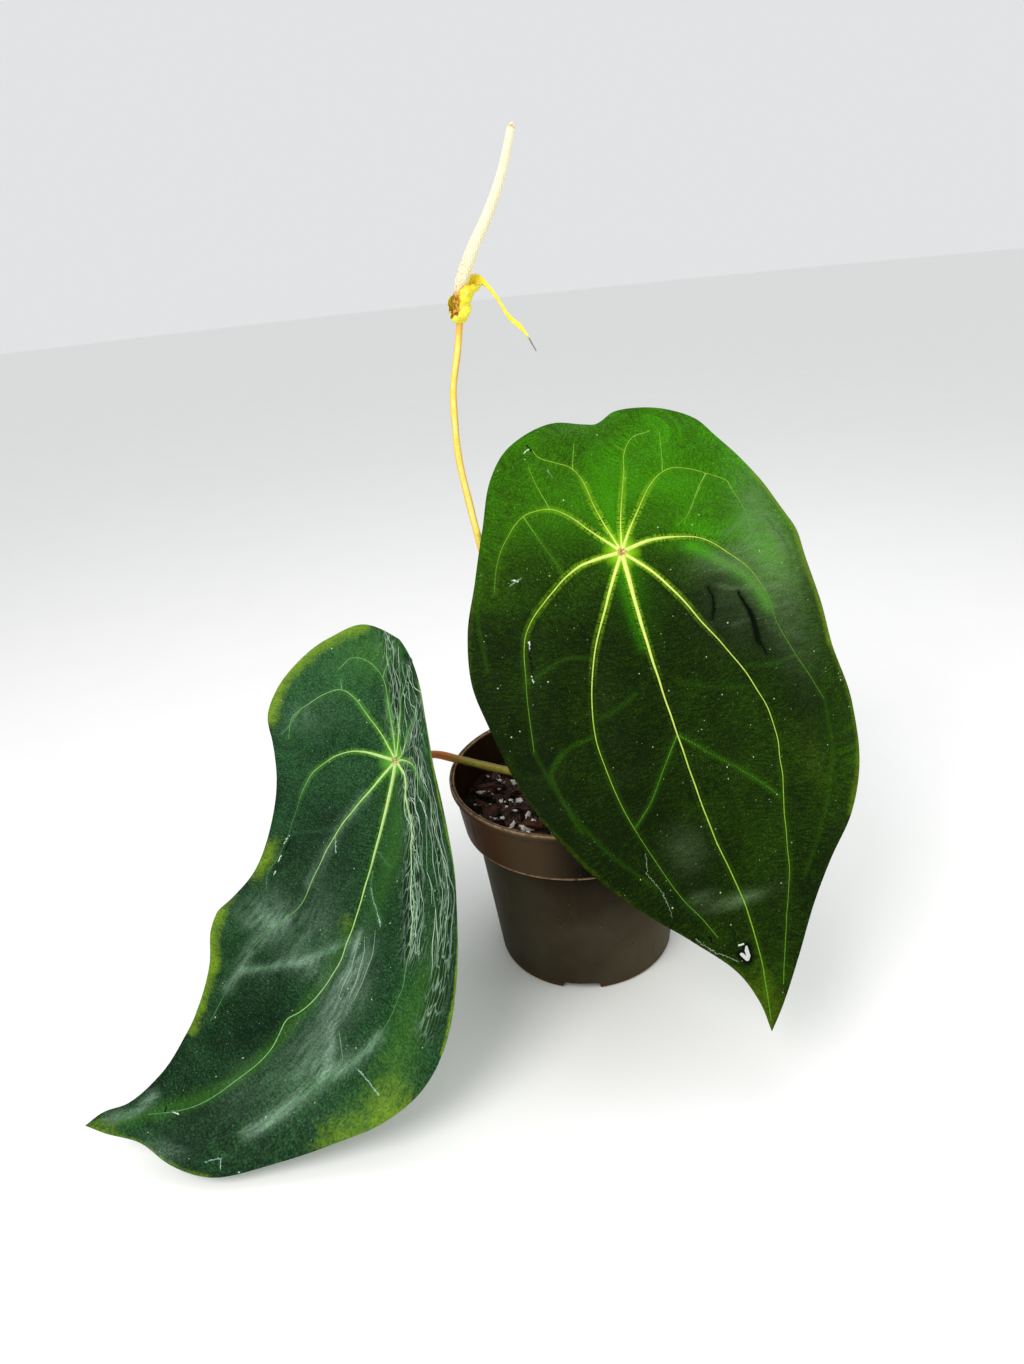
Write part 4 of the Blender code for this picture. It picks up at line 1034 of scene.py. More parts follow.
def ripples(flat, waves):  # slanted sine waves: size, length, slant in degrees, phase
    total = np.zeros(len(flat))
    for size, length, slant, phase in waves:
        lean = math.radians(slant)
        way = flat[:, 0] * math.cos(lean) + flat[:, 1] * math.sin(lean)
        total += size * np.sin(2 * np.pi * way / length + phase + 1.3 * np.sin(flat[:, 1] / 23.0 + phase))
    return total


def bladeFields(blade, flat):  # vein distances and the relief of the upper face
    far = np.full(len(flat), 1e9)
    run, strong, fine = np.zeros(len(flat)), np.zeros(len(flat)), np.zeros(len(flat))
    for k, (*_, cream, points) in enumerate(blade["veins"]):
        line = evenly(points, 4.0)
        gap, place = nearestOn(flat, line)
        closer = gap < far
        held = np.clip(1 - place / (lengthOf(line) * cream), 0, 1) ** 0.6
        far[closer], run[closer], strong[closer] = gap[closer], place[closer] + 40 * k, held[closer]
    for strength, line in blade["fine"]:
        fine = np.maximum(fine, strength * bell(nearestOn(flat, evenly(line, 5.0))[0], 0.95))
    margin = nearestOn(flat, evenly(blade["outline"], 4.0))[0]
    hub = np.hypot(flat[:, 0], flat[:, 1])
    calm = np.clip(margin / 7, 0, 1) * np.clip(hub / 12, 0, 1)
    height = bladeForm["quilt"] * (1 - bell(far, bladeForm["quiltWidth"])) * np.clip(margin / 10, 0, 1)
    height += (ripples(flat, blade["waves"]) + layered(blade["folds"], flat)) * calm
    height -= bladeForm["groove"] * bell(far, 2.0) * np.exp(-hub / 160)
    height -= 0.18 * fine
    return {"vein": far, "run": run, "strong": strong, "fineVein": fine, "margin": margin,
            "hub": hub, "height": height}


def surfaceOf(blade, line, height=None):  # the upper face and its normal at flat points
    normal = outwardNormal(blade, line[:, 0], line[:, 1])
    height = bladeFields(blade, line)["height"] if height is None else height
    return bend(blade, line[:, 0], line[:, 1]) + normal * height[:, None], normal


def biteHole(bm, radius, start, end):  # a slot with round ends through the flat sheet
    start, end = Vector((start[0], -start[1], 0)), Vector((end[0], -end[1], 0))
    middle, half = (start + end) / 2, (end - start) / 2
    near = [face for face in bm.faces
            if (face.calc_center_median() - middle).length < half.length + 3 * radius]
    geom = list({item for face in near for item in (face, *face.edges, *face.verts)})
    planes = []
    for k in range(12):
        away = Vector((math.cos(k * math.pi / 6), math.sin(k * math.pi / 6), 0))
        planes.append((middle + away * (radius + abs(half.dot(away))), away))
    for place, away in planes:
        cut = bmesh.ops.bisect_plane(bm, geom=geom, dist=1e-4, plane_co=place, plane_no=away)
        geom = list(set(cut["geom"]))
    doomed = [face for face in geom if isinstance(face, bmesh.types.BMFace) and all(
        (face.calc_center_median() - place).dot(away) < 0 for place, away in planes)]
    bmesh.ops.delete(bm, geom=doomed, context="FACES")


def flatSheet(name, blade, form):  # the blade's closed flat sheet, with any bitten holes
    bm = bmesh.new()
    bmesh.ops.create_grid(bm, x_segments=form["columns"], y_segments=form["rows"], size=0.5)
    square = np.array([vert.co[:2] for vert in bm.verts])
    for vert, (u, v) in zip(bm.verts, spread(blade, square[:, 0] + 0.5, 0.5 - square[:, 1])):
        vert.co = (u, -v, 0)
    for hole in blade["holes"]:
        biteHole(bm, *hole)
    bmesh.ops.solidify(bm, geom=bm.faces[:], thickness=1.0)
    return meshOf(bm, name)


def holeRim(blade, flat):  # dark scar round each hole
    rim = np.zeros(len(flat))
    for radius, start, end in blade["holes"]:
        far = nearestOn(flat, np.array([start, end], float))[0] - radius
        rim = np.maximum(rim, 1 - fade(far, 0.9, 1.9))
    return rim


def buildBlade(name, node, blade, form, mat, lightAndShadeOf):
    mesh = flatSheet(name, blade, form)
    points = readPoints(mesh)
    upper = points[:, 2] > points[:, 2].mean()
    flat, back = np.unique(np.round(points[:, :2] * (1, -1), 4), axis=0, return_inverse=True)
    back = back.ravel()
    found = bladeFields(blade, flat)
    for label, marks in blade["paint"].items():
        found[label] = layered(marks, flat)
    # the sheet's painted light and shade, with the listed lighter and darker spots
    found["tone"] = lightAndShadeOf(flat[:, 0], flat[:, 1], found) + layered(blade["tone"], flat)
    # painted shade in the creases, joined with the dark scars round the holes
    found["creaseShadeAndScar"] = np.maximum(found["creaseShadeAndScar"], holeRim(blade, flat))
    surface, normal = surfaceOf(blade, flat, found["height"])
    rib = np.clip(1 - found["vein"] / 2.0, 0, 1) ** 0.7 * (0.35 + 0.65 * np.exp(-found["hub"] / 70))
    thick = between(form["thin"], form["sheet"] - 0.2, fade(found["margin"], 0.0, form["thinEdge"]))
    depth = np.where(upper, 0.0, (thick + 0.8 * rib)[back])
    writePoints(mesh, (surface[back] - normal[back] * depth[:, None]) * mm)
    paintMap(mesh, "pattern", flat[back])
    paintMap(mesh, "veinRun", np.column_stack([found["run"], found["vein"]])[back])
    for label in ("vein", "hub"):
        paint(mesh, label, found[label][back])
    for label in ("strong", "fineVein", "tone", *blade["paint"]):
        paint(mesh, label, np.clip(found[label][back], 0, 1))
    paint(mesh, "under", np.where(upper, 0.0, 1.0))
    addPiece(name, mesh, mat, [node])


def buildVeins(name, blade, form, mat):  # raised vein cords above, ribs below
    routes, pale, ribs = [], [], []
    hub = surfaceOf(blade, np.zeros((1, 2)))[0][0]
    faint = [(0.35 + 0.35 * strength, 0.3, 0.0, line) for strength, line in blade["fine"]
             if strength > form["faintFrom"]]
    for wide, narrow, cream, points in blade["veins"] + faint:
        line = evenly(points, 1.3)
        share = np.linspace(0, 1, len(line))
        place, normal = surfaceOf(blade, line)
        radius = 0.5 * between(narrow, wide, (1 - share) ** 2.4)
        sunk = form["veinSunk"] if cream else form["faintSunk"]
        routes.append((place - normal * (radius * sunk)[:, None], radius))
        least = (0.08 + form["topPale"] * (1 - fade(line[:, 1], -34, 4))) * min(1.0, 0.55 + wide / 2)
        pale.append(np.maximum(np.clip(1 - share / cream, 0, 1) ** 0.7 if cream else 0.0, least))
        if cream:
            ribRadius = radius * (2.0 - 0.8 * share)
            drop = form["sheet"] - 0.2 + ribRadius * 0.15
            ribs.append((place - normal * drop[:, None], ribRadius))
    mesh = tubes(name, routes + ribs, 3)
    lines = [route[0] for route in routes]
    paintAlong(mesh, lines, "pale", pale)
    paintAlong(mesh, lines, "hub", [np.linalg.norm(line - hub, axis=1) for line in lines])
    addPiece(name, mesh, mat)


def veinMaterial(name, tones):  # tones from the faint ends to the hub
    skin = Skin(name, 0.45, 0.2)
    patch = skin.cloud(1.4, 4.0)
    pale = skin.plus(skin.painted("pale"), skin.swing(patch, 0.12), clamp=True)
    skin.tone = skin.ramped(pale, tones)
    skin.lay(veinLook["hub"], skin.ranged(skin.painted("hub"), 2.6, 1.2),
             skin.ranged(skin.cloud(0.9), 0.40, 0.56))
    return skin.done(patch, 0.2, 0.4)


def leafGround(skin, look, clouds, cells):  # the green of the sheet with its painted light and shade, its fine veins, and its bright parts with painted sheen
    tone, grain = skin.painted("tone"), clouds[1]
    for source, amount in zip(clouds, (0.10, look["grain"], look["hatch"])):
        tone = skin.plus(tone, skin.swing(source, amount))
    tone = skin.plus(tone, skin.times(cells, -look["cells"]), clamp=True)
    skin.tone = skin.ramped(tone, look["tones"])
    skin.lay(look["fineColor"], skin.painted("fineVein"), look["fine"],
             skin.ranged(grain, 0.3, 0.6, 0.4, 1.0))
    # partly the leaf's paler green, partly a painted sheen band on the right blade's lobe
    skin.lay(look["brightAndSheenColor"], skin.painted("brightAndSheen"), skin.ranged(grain, 0.25, 0.65, 0.35, 1.0))


def leafVeinBands(skin, look, hairs):  # the glow along the veins, and the dark toothed band beside it, with painted shade close beside each vein
    vein, hub, strong = [skin.painted(label) for label in ("vein", "hub", "strong")]
    halo = skin.times(skin.ranged(vein, 2.2, 0.4), skin.ranged(hub, 60.0, 8.0, 0.05, 0.85),
                      skin.ranged(strong, 0.0, 0.5, 0.3, 1.0))
    skin.lay(look["glowColor"], skin.most(halo, skin.ranged(hub, 9.0, 2.5)))
    teeth = skin.ranged(skin.cloud(0.55, 2.0, 0.6, hairs), 0.50, 0.58)
    # painted shade close beside each raised vein
    veinSideShade = skin.times(skin.ranged(vein, 1.15, 0.7), skin.ranged(hub, 5.0, 30.0, 0.0, 0.75))
    teethAndShade = skin.most(skin.times(skin.ranged(vein, 3.4, 1.0), teeth), veinSideShade)
    teethAndShade = skin.times(teethAndShade, skin.ranged(hub, 3.0, 12.0), skin.ranged(strong, 0.25, 0.7))
    skin.lay(look["toothAndShadeColor"], teethAndShade, look["teeth"])
    return teethAndShade


def leafWear(skin, look, grain):  # yellowed parts, painted silvery sheen on wrinkled parts, and painted shade in the creases with the scars round the holes
    flecks = skin.swing(skin.cloud(3.6, 5.0, 0.75), look["mottle"], 0.36, 0.64)
    yellow = skin.ranged(skin.plus(skin.painted("yellow"), flecks), 0.15, 1.1)
    skin.lay(look["yellow"], yellow, skin.ranged(skin.painted("yellow"), 0.05, 0.4),
             skin.ranged(grain, 0.36, 0.5, 0.45, 1.0), look["yellowAmount"])
    strands = skin.flatPlace("pattern", *look["strands"])
    wisps = skin.ranged(skin.cloud(3.4, 5.0, 0.68, strands), 0.37, 0.68, look["wash"], 1.0)
    # painted sheen: silvery streaks where the light glances off the sheet, and on the crinkles' net lines
    paintedSheen = skin.times(skin.painted("paintedSheen"), wisps, skin.ranged(grain, 0.3, 0.6, 0.45, 1.0))
    crinkles = skin.placed(netLines, Place=strands, Spacing=1.7, Width=0.10, Warp=0.8)
    crinkles = skin.times(crinkles, skin.painted("crinkle"))
    skin.lay(look["paintedSheen"], skin.most(paintedSheen, crinkles), look["paintedSheenAmount"])
    # painted shade in the creases, and the scars round the holes
    skin.lay(look["toothAndShadeColor"], skin.painted("creaseShadeAndScar"))
    return crinkles


def leafMarks(skin, look, grain):  # pale specks, then scratches, scars and painted shade in creases as ragged streaks
    clumps = skin.ranged(skin.cloud(14.0, 2.0), 0.45, 0.62, 0.15, 1.0)
    dots, small = [skin.placed(specks, Spacing=spacing, Radius=radius, Share=0.4)
                   for spacing, radius in ((4.2, 0.36), (1.8, 0.20))]
    skin.lay(dotColor, skin.most(dots, skin.times(small, clumps)), look["dots"])
    shift = skin.add("CombineXYZ", skin.swing(skin.cloud(1.6), 0.6), skin.swing(grain, 0.3))[0]
    ragged = skin.vector("ADD", skin.place, shift)[0]
    for color, strength, marks in look["marks"]:
        mask = 0.0
        for width, points in marks:
            for start, end in zip(points, points[1:]):
                mask = skin.most(mask, skin.placed(streak, Place=ragged, From=(*start, 0.0),
                                                   To=(*end, 0.0), Width=width))
        skin.lay(color, skin.ranged(skin.times(mask, strength), 0.1, 0.5))


def leafUnderside(skin, look, broad, cells):
    dark, pale, net = look["below"]
    below = skin.mixed(skin.ranged(broad, 0.35, 0.65), dark, pale)
    below = skin.mixed(skin.times(cells, 0.5), below, net)
    skin.lay(skin.mixed(skin.painted("fineVein"), below, net), skin.painted("under"))


def leafMaterial(name, look):
    skin = Skin(name, look["roughness"], look["specular"], "pattern")
    hairs = skin.flatPlace("veinRun", flatScale, 0.2 * flatScale)  # fine hatching across each vein
    broad, grain, hatch = (skin.cloud(24.0, 4.0), skin.cloud(0.85, 3.0, 0.7),
                           skin.cloud(0.9, 3.0, 0.6, hairs))
    cells = skin.placed(netLines, Spacing=1.9, Width=0.20, Warp=0.5)
    leafGround(skin, look, (broad, grain, hatch), cells)
    teethAndShade = leafVeinBands(skin, look, hairs)
    crinkles = leafWear(skin, look, grain)
    leafMarks(skin, look, grain)
    leafUnderside(skin, look, broad, cells)
    rough = skin.ranged(grain, 0.3, 0.7, look["roughness"] - 0.06, look["roughness"] + 0.12)
    height = skin.times(cells, -0.5)
    for source, amount in ((grain, 0.8), (hatch, 0.5), (teethAndShade, -0.8), (crinkles, 2.0)):
        height = skin.plus(height, skin.times(source, amount))
    return skin.done(height, look["bump"], 0.6, rough)


dotColor = (0.50, 0.62, 0.42)  # the pale specks on both leaves
veinLook = {
    "hub": (0.34, 0.13, 0.05),
    "cream": [(0.048, 0.19, 0.005), (0.13, 0.33, 0.014), (0.28, 0.50, 0.040), (0.50, 0.64, 0.11),
              (0.68, 0.73, 0.18)],
    "green": [(0.045, 0.14, 0.060), (0.11, 0.31, 0.09), (0.24, 0.48, 0.15), (0.40, 0.62, 0.20),
              (0.54, 0.70, 0.25)],
    # paintedSheen: tones of the ridges' painted silvery sheen
    "paintedSheen": [(0.08, 0.20, 0.10), (0.18, 0.34, 0.20), (0.34, 0.50, 0.35), (0.52, 0.64, 0.50)],
}
rightLook = {
    "roughness": 0.50, "specular": 0.03, "grain": 0.19, "hatch": 0.14, "cells": 0.08,
    "strands": (40.0, 110.0), "mottle": 0.15, "yellowAmount": 0.6,
    "tones": [(0.0034, 0.0095, 0.0006), (0.0105, 0.029, 0.0010), (0.023, 0.078, 0.0014),
              (0.036, 0.180, 0.0016), (0.054, 0.34, 0.002)],
    "brightAndSheenColor": (0.056, 0.34, 0.002), "fine": 0.55, "fineColor": (0.050, 0.190, 0.004),
    "teeth": 0.85, "toothAndShadeColor": (0.0012, 0.0045, 0.0005), "glowColor": (0.26, 0.58, 0.008),
    "yellow": (0.165, 0.28, 0.008), "paintedSheen": (0.13, 0.21, 0.09), "paintedSheenAmount": 0.8, "wash": 0.4,
    "dots": 0.8, "bump": 0.18,
    "below": [(0.045, 0.12, 0.022), (0.065, 0.17, 0.03), (0.11, 0.26, 0.05)],
    "marks": [
        ((0.62, 0.68, 0.58), 1.0, [(0.28, [(-48, 27), (-49, 31)]), (0.35, [(-51, 41), (-51, 44)]),
                                   (0.3, [(-33, -58), (-30, -60)]), (0.3, [(-48, 1), (-46, 2)]),
                                   (0.4, [(-3, 168), (-1, 168)])]),
        ((0.20, 0.28, 0.17), 0.6, [(0.2, [(-28, 123), (-30, 131), (-26, 140), (-25, 150)]),
                                   (0.3, [(-19, 161), (-13, 168), (-5, 174)]),
                                   (0.3, [(-24, -47), (-22, -42)]), (0.4, [(-44, 1), (-50, 3)])]),
        # black streaks: the first four are painted shade along the bay and inlet creases, the others dark
        # scars
        ((0.0012, 0.004, 0.0008), 1.0, [(0.8, [(45, 29), (46, 34), (47, 38)]),
                                        (1.2, [(47, 38), (47.3, 45), (46.6, 51)]),
                                        (0.6, [(46.6, 51), (47.7, 59)]),
                                        (0.6, [(32, 24), (33, 30), (31.5, 35), (30, 38)]),
                                        (0.5, [(-49, 30), (-50, 39), (-51, 42)]),
                                        (0.5, [(-29, -58), (-31, -62)]),
                                        (0.7, [(-13, 162), (-13, 164)])]),
    ],
}
leftLook = {
    "roughness": 0.42, "specular": 0.05, "grain": 0.30, "hatch": 0.15, "cells": 0.14,
    "strands": (105.0, 22.0), "mottle": 0.26, "yellowAmount": 0.85,
    "tones": [(0.0032, 0.0135, 0.0045), (0.0095, 0.039, 0.0125), (0.023, 0.085, 0.026),
              (0.042, 0.145, 0.036), (0.068, 0.22, 0.030)],
    "brightAndSheenColor": (0.068, 0.24, 0.015), "fine": 0.55, "fineColor": (0.070, 0.20, 0.080),
    "teeth": 0.75, "toothAndShadeColor": (0.0015, 0.0065, 0.0030), "glowColor": (0.13, 0.42, 0.04),
    "yellow": (0.18, 0.32, 0.016), "paintedSheen": (0.29, 0.44, 0.32), "paintedSheenAmount": 0.92, "wash": 0.12,
    "dots": 0.85, "bump": 0.26,
    "below": [(0.05, 0.13, 0.04), (0.07, 0.19, 0.06), (0.13, 0.28, 0.09)],
    "marks": [
        ((0.60, 0.70, 0.52), 1.0, [(0.35, [(-46, 47), (-46, 50)]), (0.45, [(-45, 56), (-45, 59)]),
                                   (0.3, [(-44, 64), (-44, 66)]), (0.4, [(3, 180), (5, 178)])]),
        ((0.30, 0.45, 0.36), 0.8, [(0.3, [(-22, 41), (-19, 48)]),
                                   (0.2, [(25, 171), (26, 166), (30, 167)]),
                                   (0.22, [(37, 121), (45, 122), (51, 123)]),
                                   (0.3, [(4, 59), (11, 66), (17, 73)])]),
        ((0.0015, 0.006, 0.003), 1.0, [(0.6, [(-44, 48), (-44, 53)]), (0.5, [(1, 182), (3, 183)])]),
    ],
}


def rightLightAndShade(u, v, found):  # painted light and shade: brighter upper lobes and right margin, dimmer left side
    tone = 0.15 + 0.46 * (1 - fade(v, -50, 40)) - 0.06 * fade(v, 40, 90) * fade(-u, 0, 20)
    tone += 0.13 * fade(u, 48, 76) + 0.09 * fade(v, 150, 204) - 0.06 * fade(-u, 46, 70) * fade(v, 10, 40)
    return tone + 0.06 * np.exp(-found["margin"] / 5.0) * (v < 10)


def leftLightAndShade(u, v, found):  # painted light on the top, painted shade in the wrinkles' pockets, and dimmer near the edge
    tone = 0.42 + 0.17 * bell(v + 52, 22) - 0.12 * np.exp(-found["margin"] / 5.0)
    return tone - 0.42 * np.clip(found["crinkle"], 0, 1)


def ridgeNet(net):  # long crooked cells between two guide lines, as lines of flat points
    dice = random.Random(net["seed"])
    sides = [evenly(line, 1.0) for line in net["sides"]]
    steps = int(lengthOf(sides[0]) / net["step"])
    sides = [along(side, np.linspace(0, 1, steps)) for side in sides]
    grid = []
    for k in range(net["count"]):
        row = []
        for i in range(steps):
            share = (k + dice.uniform(-0.32, 0.32)) / (net["count"] - 1)
            slip = dice.uniform(-0.4, 0.4) * net["step"]
            row.append(sides[0][i] * (1 - share) + sides[1][i] * share + np.array([0.0, slip]))
        grid.append(row)
    lines = []
    for k, row in enumerate(grid):
        start = dice.randrange(0, max(1, steps // 4))
        while start < steps - 2:
            end = min(steps, start + dice.randrange(3, 7))
            lines.append(row[start:end])
            start = end - 1 if dice.random() < 0.6 else end
        for i in range(steps - 1):
            if k + 1 < net["count"] and dice.random() < net["links"]:
                lines.append([row[i], grid[k + 1][i + 1]])
    return lines


def buildRidges(name, blade, nets, mat):  # ridges of a wrinkled part of the blade, pale with a painted silvery sheen
    dice = random.Random(5)
    routes, pale = [], []
    for net in nets:
        for points in ridgeNet(net):
            line = evenly(points, 1.2)
            place, normal = surfaceOf(blade, line)
            share = np.linspace(0, 1, len(line))
            radius = net["radius"] * dice.uniform(0.7, 1.2) * (0.45 + 0.55 * np.sin(np.pi * share))
            routes.append((place - normal * (radius * 0.5)[:, None], radius))
            pale.append(np.full(len(line), dice.uniform(0.25, 1.0)))
    mesh = tubes(name, routes, 3)
    paintAlong(mesh, [route[0] for route in routes], "pale", pale)
    paint(mesh, "hub", [99.0] * len(mesh.vertices))
    addPiece(name, mesh, mat)


leftNets = [
    {"seed": 3, "count": 4, "step": 6.0, "links": 0.6, "radius": 0.24, "sides": [
        [(7, 5), (15, 17), (21, 28), (26, 42), (31, 58), (36, 76)],
        [(14, 2), (24, 14), (31, 26), (36, 42), (40, 58), (43, 76)]]},
    {"seed": 12, "count": 6, "step": 8.5, "links": 0.35, "radius": 0.19, "sides": [
        [(18, -2), (26, 10), (33, 26), (38, 42), (42, 58), (45, 80)],
        [(32, -8), (42, 6), (51, 25), (57, 44), (61, 64), (63, 88)]]},
    {"seed": 8, "count": 5, "step": 5.5, "links": 0.5, "radius": 0.20, "sides": [
        [(2, -46), (4, -36), (7, -24), (6, -12), (3, -3)],
        [(14, -45), (22, -33), (30, -22), (28, -12), (16, -2)]]},
    {"seed": 4, "count": 3, "step": 6.0, "links": 0.3, "radius": 0.15, "sides": [
        [(-7, -61), (-5, -48), (-3, -34), (-2, -20), (-1, -10)],
        [(-1, -57), (0, -46), (1, -34), (1, -22), (1, -10)]]},
    {"seed": 6, "count": 3, "step": 9.0, "links": 0.2, "radius": 0.14, "sides": [
        [(6, 78), (10, 92), (13, 104), (18, 116), (25, 126)],
        [(14, 74), (18, 90), (21, 104), (26, 116), (30, 124)]]},
]


buildBlade("leaf_right", "blade_right", rightBlade, bladeForm,
           leafMaterial("leaf_dark_green", rightLook), rightLightAndShade)
print("right leaf bent")
buildBlade("leaf_left", "blade_left", leftBlade, bladeForm,
           leafMaterial("leaf_blue_green", leftLook), leftLightAndShade)
print("left leaf bent")
buildVeins("veins_right", rightBlade, bladeForm,
           veinMaterial("vein_cream", veinLook["cream"]))
buildVeins("veins_left", leftBlade, bladeForm,
           veinMaterial("vein_green", veinLook["green"]))
# the wrinkles' ridges, coloured with a painted silvery sheen
buildRidges("ridges_left", leftBlade, leftNets,
            veinMaterial("ridge_silver", veinLook["paintedSheen"]))
print("veins laid")


# Stalks, stem and flower

stalkShape = {  # radii at the root and at the end, swelling below the leaf, route
    "petiole_right": {"radii": (2.3, 1.9), "swelling": 0.12, "route": [
        (7.5, 4.0, 91.0), (12.0, 2.0, 104.0), (19.0, 3.0, 130.0), (25.0, 6.5, 158.0),
        (27.5, 10.0, 180.0)]},
    "petiole_left": {"radii": (2.3, 1.8), "swelling": 0.12, "route": [
        (0.0, 6.5, 90.5), (-10.0, 7.5, 90.5), (-21.0, 8.0, 92.0), (-32.0, 8.5, 95.2),
        (-44.0, 9.5, 99.3), (-56.5, 11.0, 103.6), (-67.0, 11.5, 107.0)]},
    "peduncle": {"radii": (1.9, 1.35), "swelling": 0.0, "route": [
        (1.5, 9.5, 93.0), (-4.0, 11.0, 104.0), (-16.0, 13.0, 134.0), (-26.5, 15.0, 172.0),
        (-32.5, 15.5, 205.0), (-36.0, 15.0, 230.0), (-37.8, 14.0, 247.0), (-37.6, 13.0, 262.0),
        (-36.6, 12.0, 275.0), (-33.0, 11.0, 290.0), (-30.6, 10.5, 302.0)]},
    "stalkTurn": 9.0, "hubGap": 0.3, "swellRange": (14.0, 4.0),
    "wobble": (0.025, 3.1), "ripple": (0.015, 61.0), "spacing": 0.9, "sides": 7,
}
oliveLook = {
    "tones": [(0.30, 0.24, 0.028), (0.46, 0.38, 0.055), (0.60, 0.52, 0.14)],
    "sideShade": (0.075, 0.055, 0.010), "speck": (0.030, 0.020, 0.005), "speckShare": 0.5,
    "speckAmount": 0.85, "endRange": (0.54, 0.66), "end": (0.62, 0.17, 0.035),
    "root": (0.20, 0.10, 0.03),
}
yellowLook = {
    "tones": [(0.88, 0.66, 0.060), (0.93, 0.80, 0.20), (0.95, 0.88, 0.42)],
    "sideShade": (0.72, 0.33, 0.020), "speck": (0.50, 0.20, 0.02), "speckShare": 0.2,
    "speckAmount": 0.45, "endRange": (0.955, 0.995), "end": (0.74, 0.36, 0.03),
    "root": (0.36, 0.22, 0.03),
}


def stalkMaterial(name, look):
    skin = Skin(name, 0.45, 0.3)
    share, patch, fine = skin.painted("share"), skin.cloud(5.0, 4.0), skin.cloud(0.8, 4.0, 0.7)
    skin.start(skin.ranged(patch, 0.35, 0.65), *look["tones"][:2])
    skin.lay(look["tones"][2], skin.ranged(fine, 0.52, 0.72))
    # painted shade: the stalk's sides, as the camera sees them, darkened
    skin.lay(look["sideShade"], skin.ranged(skin.painted("sideShade"), 0.45, 0.95),
             skin.ranged(patch, 0.35, 0.6, 0.5, 1.0))
    marks = skin.placed(specks, Spacing=0.95, Radius=0.24, Share=look["speckShare"])
    skin.lay(look["speck"], marks, look["speckAmount"])
    skin.lay(look["end"], skin.ranged(share, *look["endRange"]))
    skin.lay(look["root"], skin.ranged(share, 0.10, 0.0))
    height = skin.sums("SUBTRACT", fine, skin.times(marks, 0.5))
    return skin.done(height, 0.2, 0.6, skin.ranged(fine, 0.3, 0.7, 0.38, 0.6))


def toHub(route, blade):  # a stalk's route, led into the back of its leaf's hub
    origin = np.zeros(1)
    normal = outwardNormal(blade, origin, origin)[0]
    end = bend(blade, origin, origin)[0] - normal * (bladeForm["sheet"] + stalkShape["hubGap"])
    return route + [tuple(end - normal * stalkShape["stalkTurn"]), tuple(end)]


def placeOn(points, line, step):  # way along a line, its share, and the nearest line point
    run = nearestOn(points, line[::step])[1]
    share = run / lengthOf(line)
    return run, share, np.clip((share * (len(line) - 1)).round().astype(int), 0, len(line) - 1)


def buildStalk(name, node, mat, blade=None):
    form, wobble, ripple = stalkShape[node], stalkShape["wobble"], stalkShape["ripple"]
    route = toHub(form["route"], blade) if blade else form["route"]
    line = evenly(route, stalkShape["spacing"])
    whole = lengthOf(line)
    share = np.linspace(0, 1, len(line))
    radius = between(*form["radii"], share)
    radius *= 1 + form["swelling"] * fade(share, *[1 - back / whole for back in stalkShape["swellRange"]])
    radius *= 1 + wobble[0] * np.sin(share * whole / wobble[1]) + ripple[0] * np.sin(share * ripple[1])
    mesh = tubes(name, [(line, radius)], stalkShape["sides"])
    points = readPoints(mesh) / mm
    share, index = placeOn(points, line, 3)[1:]
    paint(mesh, "share", share)
    # the sides across the camera's view, painted as shade
    across = unit(np.cross(np.gradient(line, axis=0), (0.0, 1.0, -0.45)))[index]
    aside = np.abs(((points - line[index]) * across).sum(1))
    paint(mesh, "sideShade", np.clip(aside / radius[index], 0, 1))
    addPiece(name, mesh, mat, [node])


oliveSkin = stalkMaterial("petiole_skin", oliveLook)
buildStalk("stalk_right", "petiole_right", oliveSkin, rightBlade)
buildStalk("stalk_left", "petiole_left", oliveSkin, leftBlade)
buildStalk("flower_stalk", "peduncle", stalkMaterial("peduncle_skin", yellowLook))
print("stalks drawn")

spadixShape = {
    "route": [(-30.5, 10.4, 302.4), (-28.3, 10.2, 314.5), (-22.6, 10.0, 326.0), (-16.0, 10.0, 336.5),
              (-9.3, 10.0, 350.0), (-4.0, 10.0, 365.4)],
    "radii": (2.85, 1.4), "around": 11, "pitch": 1.25, "relief": 0.08, "tip": 0.962,
}
spadixLook = {
    # gap: the painted shade in the grooves between the beads
    "cream": [(0.88, 0.82, 0.56), (0.93, 0.88, 0.68)], "gap": (0.76, 0.64, 0.34),
    "orange": (0.55, 0.22, 0.02), "spot": (0.10, 0.025, 0.008), "scar": (0.42, 0.16, 0.02),
    "root": [(0.05, 0.014, 0.003), (0.42, 0.17, 0.010), (0.86, 0.50, 0.02)],
}


def spadixMaterial(look):
    skin = Skin("spadix_skin", 0.55, 0.3)
    share = skin.painted("share")
    skin.start(skin.ranged(skin.cloud(3.0), 0.35, 0.65), *look["cream"])
    # painted shade: darker in the grooves between the beads
    skin.lay(look["gap"], skin.ranged(skin.painted("bead"), 0.40, 0.0))
    skin.lay(look["orange"], skin.ranged(share, 0.45, 0.10), skin.painted("left"),
             skin.ranged(skin.cloud(0.8, 3.0, 0.65), 0.50, 0.58))
    spots = skin.placed(specks, Spacing=2.3, Radius=0.36, Share=0.3)
    skin.lay(look["spot"], spots, skin.ranged(share, 0.50, 0.35))
    skin.lay(look["scar"], skin.ranged(share, 0.970, 0.99), skin.ranged(skin.cloud(1.5), 0.42, 0.55))
    root = skin.ramped(skin.ranged(skin.cloud(1.6, 4.0, 0.65), 0.38, 0.60), look["root"])
    skin.lay(root, skin.ranged(share, 0.135, 0.105))
    return skin.done(skin.cloud(0.35, 2.0), 0.1, 0.5)


